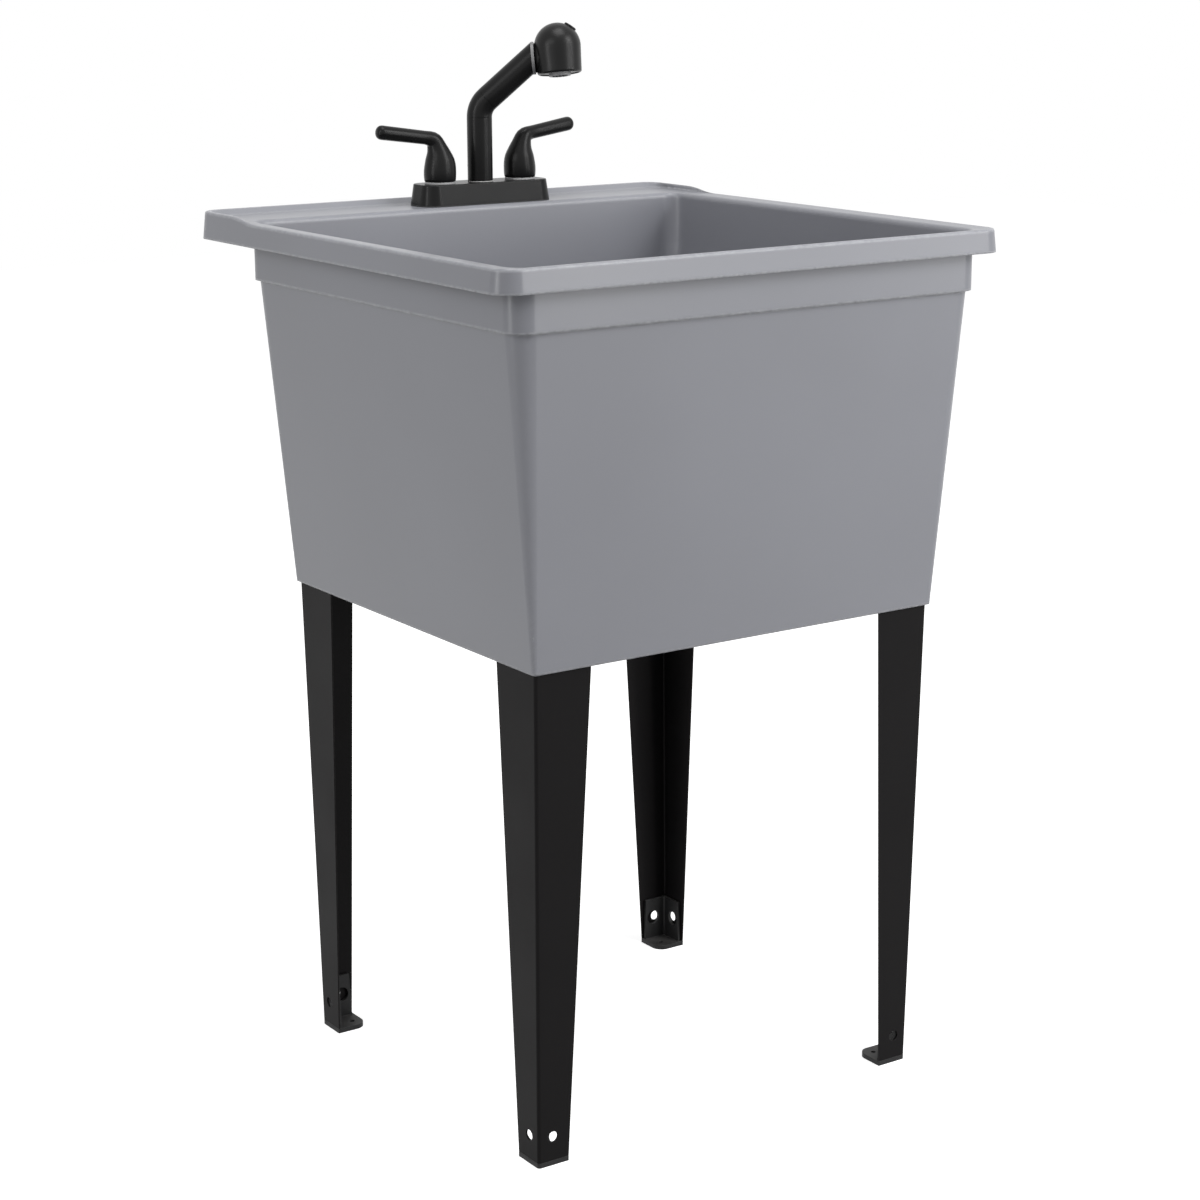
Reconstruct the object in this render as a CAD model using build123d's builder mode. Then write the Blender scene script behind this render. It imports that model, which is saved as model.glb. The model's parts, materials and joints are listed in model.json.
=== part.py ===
from build123d import *
import os
from math import cos, radians, sin, tan

os.makedirs("parts", exist_ok=True)

# Free-standing laundry sink, millimetres.
# X runs to the user's right, Y to the back, Z up from the floor.
# The origin is on the floor, under the middle of the rim.

# Tub rim and faucet ledge
rim_width = 581.0
rim_depth = 600.0
rim_height = 876.0
rim_skirt = 23.0
rim_corner = 22.0
skirt_draft = 6.0
rim_crest = 4.0
rim_edge = 2.5
ledge_rise = 5.0
ledge_lip = 23.0
ledge_slope = 54.0
deck_drop = 1.0

# Tub body
wall = 3.2
apron_side_inset = 20.8
apron_front_inset = 12.3
ledge_overhang = 75.6
apron_drop = 60.0
apron_corner = 20.6
apron_step = 3.8
apron_edge = 1.2
body_skirt = 50.0
side_taper = 27.2
front_taper = 21.1
back_taper = 18.8
bottom_corner = 4.0
skirt_corner = 1.5
bowl_depth = 328.0
bowl_corner = 26.0
bowl_edge = 5.0
bowl_margin = 5.5
bowl_cove = 12.0
dish_depth = 8.0
dish_radius = 180.0
rib_thickness = 3.0
rib_spacing = 80.0
rib_first = 95.0
rib_depth = 23.0

# Drain
drain_y = -30.0
drain_flange_radius = 39.0
drain_flange_thickness = 2.5
drain_flange_edge = 2.5
drain_body_radius = 23.8
drain_bore_radius = 19.5
drain_length = 44.0
drain_hole_gap = 0.6
drain_floor = 5.0
gasket_thickness = 3.0
fibre_thickness = 1.2
locknut_height = 9.0
locknut_radius = 32.0
locknut_lug = 5.0
locknut_lugs = 6
tail_radius = 19.05
tail_wall = 1.5
tail_length = 50.0
tail_lip = 2.0
tail_collar = 8.5
tail_collar_radius = 19.6
tail_washer_thickness = 2.5
slip_nut_height = 17.0
slip_nut_wall = 4.5
slip_nut_ribs = 12
slip_nut_rib_radius = 1.6
grid_bar = 3.0
grid_root = 0.5
grid_depth = 14.0
stopper_radius = 22.5
stopper_height = 9.0
stopper_taper = 12.0
stopper_gap = 0.3
stopper_loop_radius = 8.0
stopper_loop_wire = 2.0

# Legs, folded steel angle
leg_sheet = 1.5
leg_bend = 1.5
leg_end = 5.2
leg_socket = 36.0
leg_inset = 0.3
leg_lean_side = 4.9
leg_lean_end = 11.1
leg_top_across = 62.0
leg_top_deep = 67.0
leg_foot_across = 34.8
leg_foot_deep = 35.5
leg_hole_radius = 5.5
leg_hole_offset = 16.5
leg_hole_height = 30.0
tab_size = 44.0
tab_screw_offset = 24.0
screw_radius = 2.5
screw_head_radius = 5.2
screw_head_height = 3.2
screw_length = 10.0
screw_socket_radius = 2.2
screw_hole_gap = 0.6
pad_margin = 4.0

# Levelling feet
foot_gap = 0.3
foot_wing = 3.5
foot_height = 52.0
foot_wing_deep = 31.5
foot_wing_across = 31.5
foot_wing_flare = 1.5
foot_corner = 12.0
foot_window_radius = 8.0
foot_window_offset = 21.5
foot_anchor_radius = 2.6
foot_anchor_offset = 23.0

# Faucet base and water way
faucet_x = 27.5
faucet_setback = 49.0
faucet_spread = 101.6
base_length = 162.0
base_depth = 50.0
base_height = 21.5
base_corner = 18.0
base_draft = 8.7
base_wall = 3.0
base_edge = 1.2
pad_thickness = 1.5
deck_hole_radius = 16.0
supply_radius = 10.4
supply_length = 17.0
shank_radius = 11.2
shank_bore_radius = 6.5
shank_length = 40.0
hose_shank_radius = 14.0
hose_shank_length = 32.0
valve_body_radius = 13.0
valve_neck_radius = 8.0
valve_neck_height = 6.0
way_width = 14.0
way_height = 13.0
way_floor = 2.0
way_passage_radius = 3.5
shank_nut_height = 5.0
shank_nut_hub = 12.0
shank_nut_radius = 20.0
shank_nut_wall = 3.6
shank_nut_lug = 4.0
thread_gap = 0.05

# Spout
spout_radius = 13.7
spout_wall = 2.0
spout_swing = 55.0
spout_rise = 80.0
spout_bend = 26.0
spout_angle = 41.3
spout_reach = 57.5
spout_mitre = 4.9
nipple_radius = 11.0
nipple_wall = 1.5
nipple_height = 32.0
swivel_gap = 0.05
bush_height = 12.0
bush_flange = 0.6
axial_gap = 0.3
seal_wire = 0.6
seal_groove = 0.45
seal_heights = (22.0, 27.0)
keeper_height = 17.0
keeper_radius = 2.0
keeper_groove = 0.7
guide_flange = 3.0
guide_bore_radius = 10.3
guide_length = 24.0
guide_overhang = 0.3

# Spray head
dock_gap = 0.3
nose_radius = 10.0
nose_length = 20.0
neck_radius = 12.6
neck_length = 12.0
bell_offset = 28.5
bell_drop = 19.0
bell_radius = 25.2
bell_height = 54.2
bell_roll = 8.0
bell_mouth_radius = 23.8
bell_wall = 2.5
face_thickness = 4.0
face_recess = 1.0
face_boss_radius = 12.0
face_proud = 2.5
nozzle_radius = 1.0
nozzle_ring_radii = (3.4, 7.2)
nozzle_counts = (6, 12)
connector_radius = 7.0
connector_bore_radius = 4.0
connector_length = 14.0
connector_proud = 6.0
button_radius = 7.0
button_proud = 1.2
button_gap = 0.3
button_forward = 38.0
button_flange_radius = 8.5
button_flange = 1.6

# Handles
seat_ring_radius = 16.4
seat_ring_height = 2.0
seat_ring_wall = 5.3
handle_lift = 2.3
bonnet_radius = 10.5
bonnet_height = 9.0
bonnet_lip = 2.0
bonnet_hole_radius = 5.5
cartridge_depth = 16.0
stem_radius = 4.0
stem_gap = 0.05
stem_depth = 10.0
stem_top = 33.0
handle_recess_radius = 14.4
handle_recess_height = 10.0
handle_foot_radius = 16.6
# Bulb: height above the base cover, radius, lean towards the lever
bulb_stations = (
    (9.5, 17.5, 0.0),
    (22.0, 16.6, -0.4),
    (29.5, 14.5, 0.2),
    (36.0, 11.8, 1.6),
    (41.0, 10.3, 3.6),
    (45.5, 9.3, 6.0),
)
lever_root_height = 47.8
lever_root_radius = 7.3
lever_slope = 10.0
lever_length = 60.0
lever_tip_radius = 7.7
lever_back = 5.5
lever_tip_round = 5.0
lever_tip_length = 7.5
cap_radius = 4.1
cap_gap = 0.1
cap_top = 47.0
cap_bottom = 42.0
handle_screw_radius = 2.0
handle_screw_head_radius = 3.6
handle_screw_head = 2.6
handle_screw_length = 12.0
handle_screw_seat = 38.0

# Levels and planes worked out from the sizes above
skirt_bottom = rim_height - rim_skirt
ledge_top = rim_height + ledge_rise
deck_level = rim_height - deck_drop
rim_underside = deck_level - wall
apron_bottom = rim_height - apron_drop
apron_half = rim_width / 2 - apron_side_inset
apron_front = -rim_depth / 2 + apron_front_inset
apron_back = rim_depth / 2 - ledge_overhang
body_half = apron_half - apron_step
body_front = apron_front + apron_step
body_back = apron_back - apron_step
floor_level = rim_height - bowl_depth
floor_underside = floor_level - wall
body_bottom = floor_level - body_skirt
dish_level = floor_level - dish_depth
drain_seat = dish_level - drain_flange_thickness
drain_underside = drain_seat - drain_floor
drain_end = drain_seat - drain_length
drain_axis = (0, drain_y)
leg_top = body_bottom + leg_socket
pad_bottom = deck_level + pad_thickness
base_top = pad_bottom + base_height
faucet_y = rim_depth / 2 - faucet_setback
faucet_axis = (faucet_x, faucet_y)
valve_axes = (("hot", -1), ("cold", 1))
corners = (("front_left", -1, -1), ("front_right", 1, -1), ("back_left", -1, 1), ("back_right", 1, 1))
tiny = 0.01


def plan(half_width, front, back, corner):
    """Rounded outline, drawn in the sketch that is open."""
    with Locations((0, (front + back) / 2)):
        RectangleRounded(2 * half_width, back - front, corner)


def body_plan(height, inset, corner):
    """Tub body's outline at a height, moved inwards by inset."""
    share = (apron_bottom - height) / (apron_bottom - body_bottom)
    front = body_front + front_taper * share + inset
    back = body_back - back_taper * share - inset
    plan(body_half - side_taper * share - inset, front, back, corner)


def leg_fold(side, end, height):
    """Outer corner of a leg at a height: side -1 is left, end -1 is front."""
    drop = (body_bottom - height) / (body_bottom - leg_end)
    inset = wall + leg_inset
    edge = body_front + front_taper if end < 0 else body_back - back_taper
    x = side * (body_half - side_taper - inset - leg_lean_side * drop)
    y = edge - end * (inset + leg_lean_end * drop)
    return x, y


def leg_width(height, top_width, foot_width):
    share = (height - leg_end) / (body_bottom - leg_end)
    return foot_width + (top_width - foot_width) * share


def angle_outline(x, y, side, end, across, deep, thickness, outer_radius, inner_radius):
    """L-shaped outline with its outer corner at x, y and rounded at the fold."""
    with BuildSketch(Plane.XY) as outline:
        Polygon(
            (x, y),
            (x - side * across, y),
            (x - side * across, y - end * thickness),
            (x - side * thickness, y - end * thickness),
            (x - side * thickness, y - end * deep),
            (x, y - end * deep),
            align=None,
        )
        fillet(outline.vertices().sort_by_distance((x, y))[0], outer_radius)
        inner_corner = (x - side * thickness, y - end * thickness)
        fillet(outline.vertices().sort_by_distance(inner_corner)[0], inner_radius)
    return outline.sketch


# ---- Tub ----
with BuildPart() as tub:
    # Rim and ledge as one drafted block, lowered in front of the ledge by a reverse curve.
    with BuildSketch(Plane.XY.offset(skirt_bottom)):
        RectangleRounded(rim_width, rim_depth, rim_corner)
    extrude(amount=ledge_top - skirt_bottom, taper=skirt_draft)
    slope_back = apron_back
    slope_front = slope_back - ledge_slope
    slope_middle = ((slope_front + slope_back) / 2, rim_height + ledge_rise / 2)
    with BuildSketch(Plane.YZ.offset(-rim_width)):
        with BuildLine():
            rising = TangentArc((slope_front, rim_height), slope_middle, tangent=(1, 0))
            TangentArc(slope_middle, (slope_back, ledge_top), tangent=rising % 1)
            Polyline(
                (slope_back, ledge_top),
                (slope_back, ledge_top + ledge_rise),
                (-rim_depth, ledge_top + ledge_rise),
                (-rim_depth, rim_height),
                (slope_front, rim_height),
            )
        make_face()
    extrude(amount=2 * rim_width, mode=Mode.SUBTRACT)
    crest = tub.edges().filter_by(lambda e: e.center().Z > rim_height - tiny)
    crest = crest.filter_by(lambda e: abs(e.center().X) > wall or abs(e.center().Y) > slope_back + wall)
    fillet(crest, rim_edge)

    # Hollow between the skirt and the apron.
    with BuildSketch(Plane.XY.offset(skirt_bottom)):
        RectangleRounded(rim_width - 2 * wall, rim_depth - 2 * wall, rim_corner - wall)
    extrude(amount=rim_underside - skirt_bottom, taper=skirt_draft, mode=Mode.SUBTRACT)

    # Rim strip falling inwards from its crest, and the deck sunk inside the ledge's lip.
    crest_inset = rim_crest + rim_skirt * tan(radians(skirt_draft))
    pocket_back = rim_depth / 2 - ledge_lip
    with BuildSketch(Plane.XY.offset(rim_height)):
        plan(
            rim_width / 2 - crest_inset,
            -rim_depth / 2 + crest_inset,
            rim_depth / 2 - crest_inset - ledge_lip / 2,
            rim_corner - rim_crest,
        )
    with BuildSketch(Plane.XY.offset(deck_level)):
        plan(
            apron_half - wall + bowl_margin,
            apron_front + wall - bowl_margin,
            pocket_back,
            apron_corner - wall + bowl_margin,
        )
    loft(mode=Mode.SUBTRACT)
    with BuildSketch(Plane.XY.offset(rim_height)):
        plan(
            rim_width / 2 - crest_inset,
            -rim_depth / 2 + crest_inset,
            rim_depth / 2 - crest_inset - ledge_lip / 2,
            rim_corner - rim_crest,
        )
    with BuildSketch(Plane.XY.offset(ledge_top)):
        plan(
            rim_width / 2 - crest_inset - tiny,
            -rim_depth / 2 + crest_inset,
            rim_depth / 2 - crest_inset - rim_crest / 2,
            rim_corner - rim_crest,
        )
    loft(mode=Mode.SUBTRACT)

    # Apron band and tapered body.
    with BuildSketch(Plane.XY.offset(apron_bottom)):
        plan(apron_half, apron_front, apron_back, apron_corner)
    extrude(amount=rim_underside - apron_bottom)
    with BuildSketch(Plane.XY.offset(body_bottom)):
        body_plan(body_bottom, 0, bottom_corner)
    with BuildSketch(Plane.XY.offset(apron_bottom)):
        body_plan(apron_bottom, 0, apron_corner)
    loft()

    # Bowl: smooth tapered walls from the mouth down to a coved floor.
    with BuildSketch(Plane.XY.offset(apron_bottom + wall)):
        body_plan(apron_bottom, wall, apron_corner - wall)
    with BuildSketch(Plane.XY.offset(rim_height + ledge_rise)):
        plan(apron_half - wall, apron_front + wall, apron_back - wall, apron_corner - wall)
    loft(mode=Mode.SUBTRACT)
    with BuildSketch(Plane.XY.offset(floor_level)):
        body_plan(floor_level, wall, bowl_corner)
    with BuildSketch(Plane.XY.offset(apron_bottom + wall)):
        body_plan(apron_bottom, wall, apron_corner - wall)
    loft(mode=Mode.SUBTRACT)
    cove = tub.edges().filter_by_position(Axis.Z, floor_level - tiny, floor_level + tiny)
    fillet(cove, bowl_cove)
    mouth = tub.faces().filter_by(lambda f: abs(f.bounding_box().min.Z - apron_bottom - wall) < tiny)
    mouth = mouth.edges().filter_by_position(Axis.Z, deck_level - tiny, deck_level + tiny)
    fillet(mouth, bowl_edge)

    # Open skirt under the floor.
    with BuildSketch(Plane.XY.offset(body_bottom)):
        body_plan(body_bottom, wall, skirt_corner)
    with BuildSketch(Plane.XY.offset(floor_underside)):
        body_plan(floor_underside, wall, skirt_corner)
    loft(mode=Mode.SUBTRACT)

    # Dished floor down to the drain.
    with Locations((*drain_axis, floor_underside - dish_depth / 2)):
        Cone(drain_flange_radius + wall, dish_radius, dish_depth)
    with Locations((*drain_axis, (drain_underside + dish_level) / 2)):
        Cylinder(drain_flange_radius + wall, dish_level - drain_underside)
    with Locations((*drain_axis, floor_level - dish_depth / 2)):
        Cone(drain_flange_radius + drain_hole_gap, dish_radius, dish_depth, mode=Mode.SUBTRACT)
    with BuildSketch(Plane.XY.offset(drain_seat)):
        with Locations(drain_axis):
            Circle(drain_flange_radius + drain_hole_gap)
    extrude(amount=bowl_depth, mode=Mode.SUBTRACT)
    with BuildSketch(Plane.XY.offset(drain_underside)):
        with Locations(drain_axis):
            Circle(drain_body_radius + drain_hole_gap)
    extrude(amount=bowl_depth, mode=Mode.SUBTRACT)

    # Leg pads in the corners under the floor, each with a screw hole.
    for name, side, end in corners:
        x, y = leg_fold(side, end, leg_top)
        pad = tab_size + 2 * pad_margin
        with BuildSketch(Plane.XY.offset(leg_top)):
            with Locations((x - side * tab_size / 2, y - end * tab_size / 2)):
                Rectangle(pad, pad)
            with Locations((x - side * tab_screw_offset, y - end * tab_screw_offset)):
                Circle(screw_radius + thread_gap, mode=Mode.SUBTRACT)
        extrude(amount=floor_underside - leg_top)

    # Ribs under the ledge, clear of the faucet's shanks.
    for side in (-1, 1):
        for rib in range(2):
            rib_x = faucet_x + side * (rib_first + rib * rib_spacing) - rib_thickness / 2
            with BuildSketch(Plane.YZ.offset(rib_x)):
                Polygon(
                    (apron_back - wall / 2, rim_underside + wall / 2),
                    (rim_depth / 2 - wall - rim_crest, rim_underside + wall / 2),
                    (rim_depth / 2 - wall - rim_crest, rim_underside - wall),
                    (apron_back - wall / 2, rim_underside - rib_depth),
                    align=None,
                )
            extrude(amount=rib_thickness)

    # Three holes in the deck for the faucet.
    with BuildSketch(Plane.XY.offset(rim_underside - wall)):
        with Locations(faucet_axis):
            with GridLocations(faucet_spread / 2, 0, 3, 1):
                Circle(deck_hole_radius)
    extrude(amount=3 * wall, mode=Mode.SUBTRACT)
tub.part.label = "tub"
export_step(tub.part, "parts/tub.step")

# ---- Legs and levelling feet ----
for name, side, end in corners:
    with BuildPart() as leg:
        # Folded angle that narrows downwards, with a tab across its top.
        for height in (leg_end, leg_top):
            x, y = leg_fold(side, end, height)
            across = leg_width(height, leg_top_across, leg_foot_across)
            deep = leg_width(height, leg_top_deep, leg_foot_deep)
            outer = leg_bend + leg_sheet
            with BuildSketch(Plane.XY.offset(height)):
                add(angle_outline(x, y, side, end, across, deep, leg_sheet, outer, leg_bend))
        loft(ruled=True)
        x, y = leg_fold(side, end, leg_top)
        with BuildSketch(Plane.XY.offset(leg_top - leg_sheet)) as tab:
            Polygon(
                (x, y),
                (x - side * tab_size, y),
                (x - side * tab_size, y - end * tab_size),
                (x, y - end * tab_size),
                align=None,
            )
            fillet(tab.vertices().sort_by_distance((x, y))[0], outer)
            with Locations((x - side * tab_screw_offset, y - end * tab_screw_offset)):
                Circle(screw_radius + screw_hole_gap, mode=Mode.SUBTRACT)
        extrude(amount=leg_sheet)
        # One hole through each flange, near the floor.
        x, y = leg_fold(side, end, leg_hole_height)
        with Locations((x - side * leg_hole_offset, y, leg_hole_height)):
            Cylinder(leg_hole_radius, 4 * leg_bend, rotation=(90, 0, 0), mode=Mode.SUBTRACT)
        with Locations((x, y - end * leg_hole_offset, leg_hole_height)):
            Cylinder(leg_hole_radius, 4 * leg_bend, rotation=(0, 90, 0), mode=Mode.SUBTRACT)
    leg.part.label = f"leg_{name}"
    export_step(leg.part, f"parts/leg_{name}.step")

    with BuildPart() as foot:
        # Sole plate that fills the angle under the end of the leg.
        x, y = leg_fold(side, end, leg_end)
        far_corner = (x - side * leg_foot_across, y - end * leg_foot_deep)
        with BuildSketch(Plane.XY) as sole:
            Polygon((x, y), (far_corner[0], y), far_corner, (x, far_corner[1]), align=None)
            fillet(sole.vertices().sort_by_distance((x, y))[0], outer)
            fillet(sole.vertices().sort_by_distance(far_corner)[0], foot_corner)
            with Locations((x - side * foot_anchor_offset, y - end * foot_anchor_offset)):
                Circle(foot_anchor_radius, mode=Mode.SUBTRACT)
        extrude(amount=leg_end - foot_gap)
        # Wings up the inside of the leg, wider at their foot.
        inset = leg_sheet + foot_gap
        for height, flare in ((leg_end - foot_gap, foot_wing_flare), (foot_height, 0)):
            x, y = leg_fold(side, end, height)
            with BuildSketch(Plane.XY.offset(height)):
                add(
                    angle_outline(
                        x - side * inset,
                        y - end * inset,
                        side,
                        end,
                        foot_wing_across + flare - inset,
                        foot_wing_deep + flare - inset,
                        foot_wing,
                        outer,
                        leg_bend,
                    )
                )
        loft(ruled=True)
        # Wider openings behind the holes of the leg.
        x, y = leg_fold(side, end, leg_hole_height)
        with Locations((x - side * foot_window_offset, y - end * inset, leg_hole_height)):
            Cylinder(foot_window_radius, 4 * foot_wing, rotation=(90, 0, 0), mode=Mode.SUBTRACT)
        with Locations((x - side * inset, y - end * foot_window_offset, leg_hole_height)):
            Cylinder(foot_window_radius, 4 * foot_wing, rotation=(0, 90, 0), mode=Mode.SUBTRACT)
    foot.part.label = f"foot_{name}"
    export_step(foot.part, f"parts/foot_{name}.step")

with BuildPart() as leg_screws:
    # One pan-head screw up through each leg's tab into its pad.
    for name, side, end in corners:
        x, y = leg_fold(side, end, leg_top)
        screw_place = (x - side * tab_screw_offset, y - end * tab_screw_offset)
        with BuildSketch(Plane.XY.offset(leg_top - leg_sheet - screw_head_height)):
            with Locations(screw_place):
                Circle(screw_head_radius)
        extrude(amount=screw_head_height)
        with BuildSketch(Plane.XY.offset(leg_top - leg_sheet)):
            with Locations(screw_place):
                Circle(screw_radius)
        extrude(amount=screw_length)
        with BuildSketch(Plane.XY.offset(leg_top - leg_sheet - screw_head_height)):
            with Locations(screw_place):
                RegularPolygon(screw_socket_radius, 6)
        extrude(amount=screw_head_height / 2, mode=Mode.SUBTRACT)
leg_screws.part.label = "leg_screws"
export_step(leg_screws.part, "parts/leg_screws.step")

# ---- Drain ----
stopper_base = drain_seat + drain_flange_thickness - stopper_height
cone_run = stopper_height * tan(radians(stopper_taper))
seat_radius = stopper_radius + stopper_gap
with BuildPart() as drain_flange:
    # Flange, threaded body, tapered seat for the stopper and a cross to catch solids.
    with BuildSketch(Plane.XZ) as outline:
        with BuildLine():
            Polyline(
                (seat_radius, drain_flange_thickness),
                (drain_flange_radius - drain_flange_edge, drain_flange_thickness),
                (drain_flange_radius, drain_flange_thickness / 2),
                (drain_flange_radius, 0),
                (drain_body_radius, 0),
                (drain_body_radius, -drain_length),
                (drain_bore_radius, -drain_length),
                (drain_bore_radius, drain_flange_thickness - stopper_height),
                (seat_radius - cone_run, drain_flange_thickness - stopper_height),
                close=True,
            )
        make_face()
    revolve(axis=Axis.Z)
    with BuildSketch(Plane.XY.offset(-grid_depth)):
        Rectangle(2 * (drain_bore_radius + grid_root), grid_bar)
        Rectangle(grid_bar, 2 * (drain_bore_radius + grid_root))
    extrude(amount=grid_bar)
drain_flange.part.move(Location((*drain_axis, drain_seat)))
drain_flange.part.label = "drain_flange"
export_step(drain_flange.part, "parts/drain_flange.step")

with BuildPart() as drain_stopper:
    # Tapered rubber plug with a pull loop.
    with BuildSketch(Plane.XZ):
        with BuildLine():
            Polyline(
                (0, 0),
                (stopper_radius - cone_run, 0),
                (stopper_radius, stopper_height),
                (0, stopper_height),
                close=True,
            )
        make_face()
    revolve(axis=Axis.Z)
    fillet(drain_stopper.edges().group_by(Axis.Z)[-1], stopper_gap)
    with Locations(Plane((0, 0, stopper_height), x_dir=(1, 0, 0), z_dir=(0, -1, 0))):
        Torus(stopper_loop_radius, stopper_loop_wire)
    with Locations((0, 0, -stopper_height)):
        Cylinder(stopper_radius, 2 * stopper_height, mode=Mode.SUBTRACT)
drain_stopper.part.move(Location((*drain_axis, stopper_base)))
drain_stopper.part.label = "drain_stopper"
export_step(drain_stopper.part, "parts/drain_stopper.step")

gasket_bottom = drain_underside - gasket_thickness
washer_bottom = gasket_bottom - fibre_thickness
with BuildPart() as drain_gasket:
    with BuildSketch(Plane.XY.offset(gasket_bottom)):
        with Locations(drain_axis):
            Circle(locknut_radius + locknut_lug)
            Circle(drain_body_radius + drain_hole_gap, mode=Mode.SUBTRACT)
    extrude(amount=gasket_thickness)
drain_gasket.part.label = "drain_gasket"
export_step(drain_gasket.part, "parts/drain_gasket.step")

with BuildPart() as drain_washer:
    with BuildSketch(Plane.XY.offset(washer_bottom)):
        with Locations(drain_axis):
            Circle(locknut_radius + locknut_lug)
            Circle(drain_body_radius + drain_hole_gap, mode=Mode.SUBTRACT)
    extrude(amount=fibre_thickness)
drain_washer.part.label = "drain_washer"
export_step(drain_washer.part, "parts/drain_washer.step")

with BuildPart() as drain_locknut:
    # Ring nut with lugs for a wrench.
    with BuildSketch(Plane.XY.offset(washer_bottom - locknut_height)):
        with Locations(drain_axis):
            Circle(locknut_radius)
            with PolarLocations(locknut_radius, locknut_lugs):
                RectangleRounded(2 * locknut_lug, 2 * locknut_lug, locknut_lug / 2)
            Circle(drain_body_radius + thread_gap, mode=Mode.SUBTRACT)
    extrude(amount=locknut_height)
drain_locknut.part.label = "drain_locknut"
export_step(drain_locknut.part, "parts/drain_locknut.step")

tail_top = drain_end - tail_washer_thickness
slip_nut_bottom = tail_top - tail_lip - slip_nut_wall
with BuildPart() as tailpiece_washer:
    with BuildSketch(Plane.XY.offset(tail_top)):
        with Locations(drain_axis):
            Circle(drain_body_radius)
            Circle(drain_bore_radius, mode=Mode.SUBTRACT)
    extrude(amount=tail_washer_thickness)
tailpiece_washer.part.label = "tailpiece_washer"
export_step(tailpiece_washer.part, "parts/tailpiece_washer.step")

with BuildPart() as drain_tailpiece:
    # Thin tube with a collar and a turned-out lip that the slip nut pulls up.
    with BuildSketch(Plane.XY.offset(tail_top - tail_length)):
        with Locations(drain_axis):
            Circle(tail_radius)
    extrude(amount=tail_length)
    with BuildSketch(Plane.XY.offset(tail_top - tail_collar)):
        with Locations(drain_axis):
            Circle(tail_collar_radius)
    extrude(amount=tail_collar)
    with BuildSketch(Plane.XY.offset(tail_top - tail_lip)):
        with Locations(drain_axis):
            Circle(drain_body_radius)
    extrude(amount=tail_lip)
    with BuildSketch(Plane.XY.offset(tail_top - tail_length)):
        with Locations(drain_axis):
            Circle(tail_radius - tail_wall)
    extrude(amount=2 * tail_length, mode=Mode.SUBTRACT)
drain_tailpiece.part.label = "drain_tailpiece"
export_step(drain_tailpiece.part, "parts/drain_tailpiece.step")

with BuildPart() as tailpiece_nut:
    # Ribbed slip nut, threaded inside, with a shoulder under the lip.
    slip_nut_radius = drain_body_radius + slip_nut_wall
    with BuildSketch(Plane.XY.offset(slip_nut_bottom)):
        with Locations(drain_axis):
            Circle(slip_nut_radius)
            with PolarLocations(slip_nut_radius, slip_nut_ribs):
                Circle(slip_nut_rib_radius)
    extrude(amount=slip_nut_height)
    with BuildSketch(Plane.XY.offset(slip_nut_bottom)):
        with Locations(drain_axis):
            Circle(tail_collar_radius + thread_gap)
    extrude(amount=slip_nut_height, mode=Mode.SUBTRACT)
    with BuildSketch(Plane.XY.offset(slip_nut_bottom + slip_nut_wall)):
        with Locations(drain_axis):
            Circle(drain_body_radius + thread_gap)
    extrude(amount=slip_nut_height, mode=Mode.SUBTRACT)
tailpiece_nut.part.label = "tailpiece_nut"
export_step(tailpiece_nut.part, "parts/tailpiece_nut.step")

# ---- Faucet base ----
with BuildPart() as deck_gasket:
    with BuildSketch(Plane.XY.offset(deck_level)):
        with Locations(faucet_axis):
            RectangleRounded(base_length, base_depth, base_corner)
            with GridLocations(faucet_spread / 2, 0, 3, 1):
                Circle(deck_hole_radius, mode=Mode.SUBTRACT)
    extrude(amount=pad_thickness)
deck_gasket.part.label = "deck_gasket"
export_step(deck_gasket.part, "parts/deck_gasket.step")

nipple_bore = nipple_radius - nipple_wall
with BuildPart() as faucet_base:
    # Hollow cover with sloping sides and a hole for each valve and for the spout.
    with BuildSketch(Plane.XY.offset(pad_bottom)):
        with Locations(faucet_axis):
            RectangleRounded(base_length, base_depth, base_corner)
    extrude(amount=base_height, taper=base_draft)
    fillet(faucet_base.faces().sort_by(Axis.Z)[-1].edges(), base_edge)
    with BuildSketch(Plane.XY.offset(pad_bottom)):
        with Locations(faucet_axis):
            RectangleRounded(base_length - 2 * base_wall, base_depth - 2 * base_wall, base_corner - base_wall)
    extrude(amount=base_height - base_wall, taper=base_draft, mode=Mode.SUBTRACT)
    with BuildSketch(Plane.XY.offset(pad_bottom)):
        with Locations(faucet_axis):
            with GridLocations(faucet_spread, 0, 2, 1):
                Circle(valve_neck_radius + axial_gap)
            Circle(nipple_radius + axial_gap)
    extrude(amount=2 * base_height, mode=Mode.SUBTRACT)
faucet_base.part.label = "faucet_base"
export_step(faucet_base.part, "parts/faucet_base.step")

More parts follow.
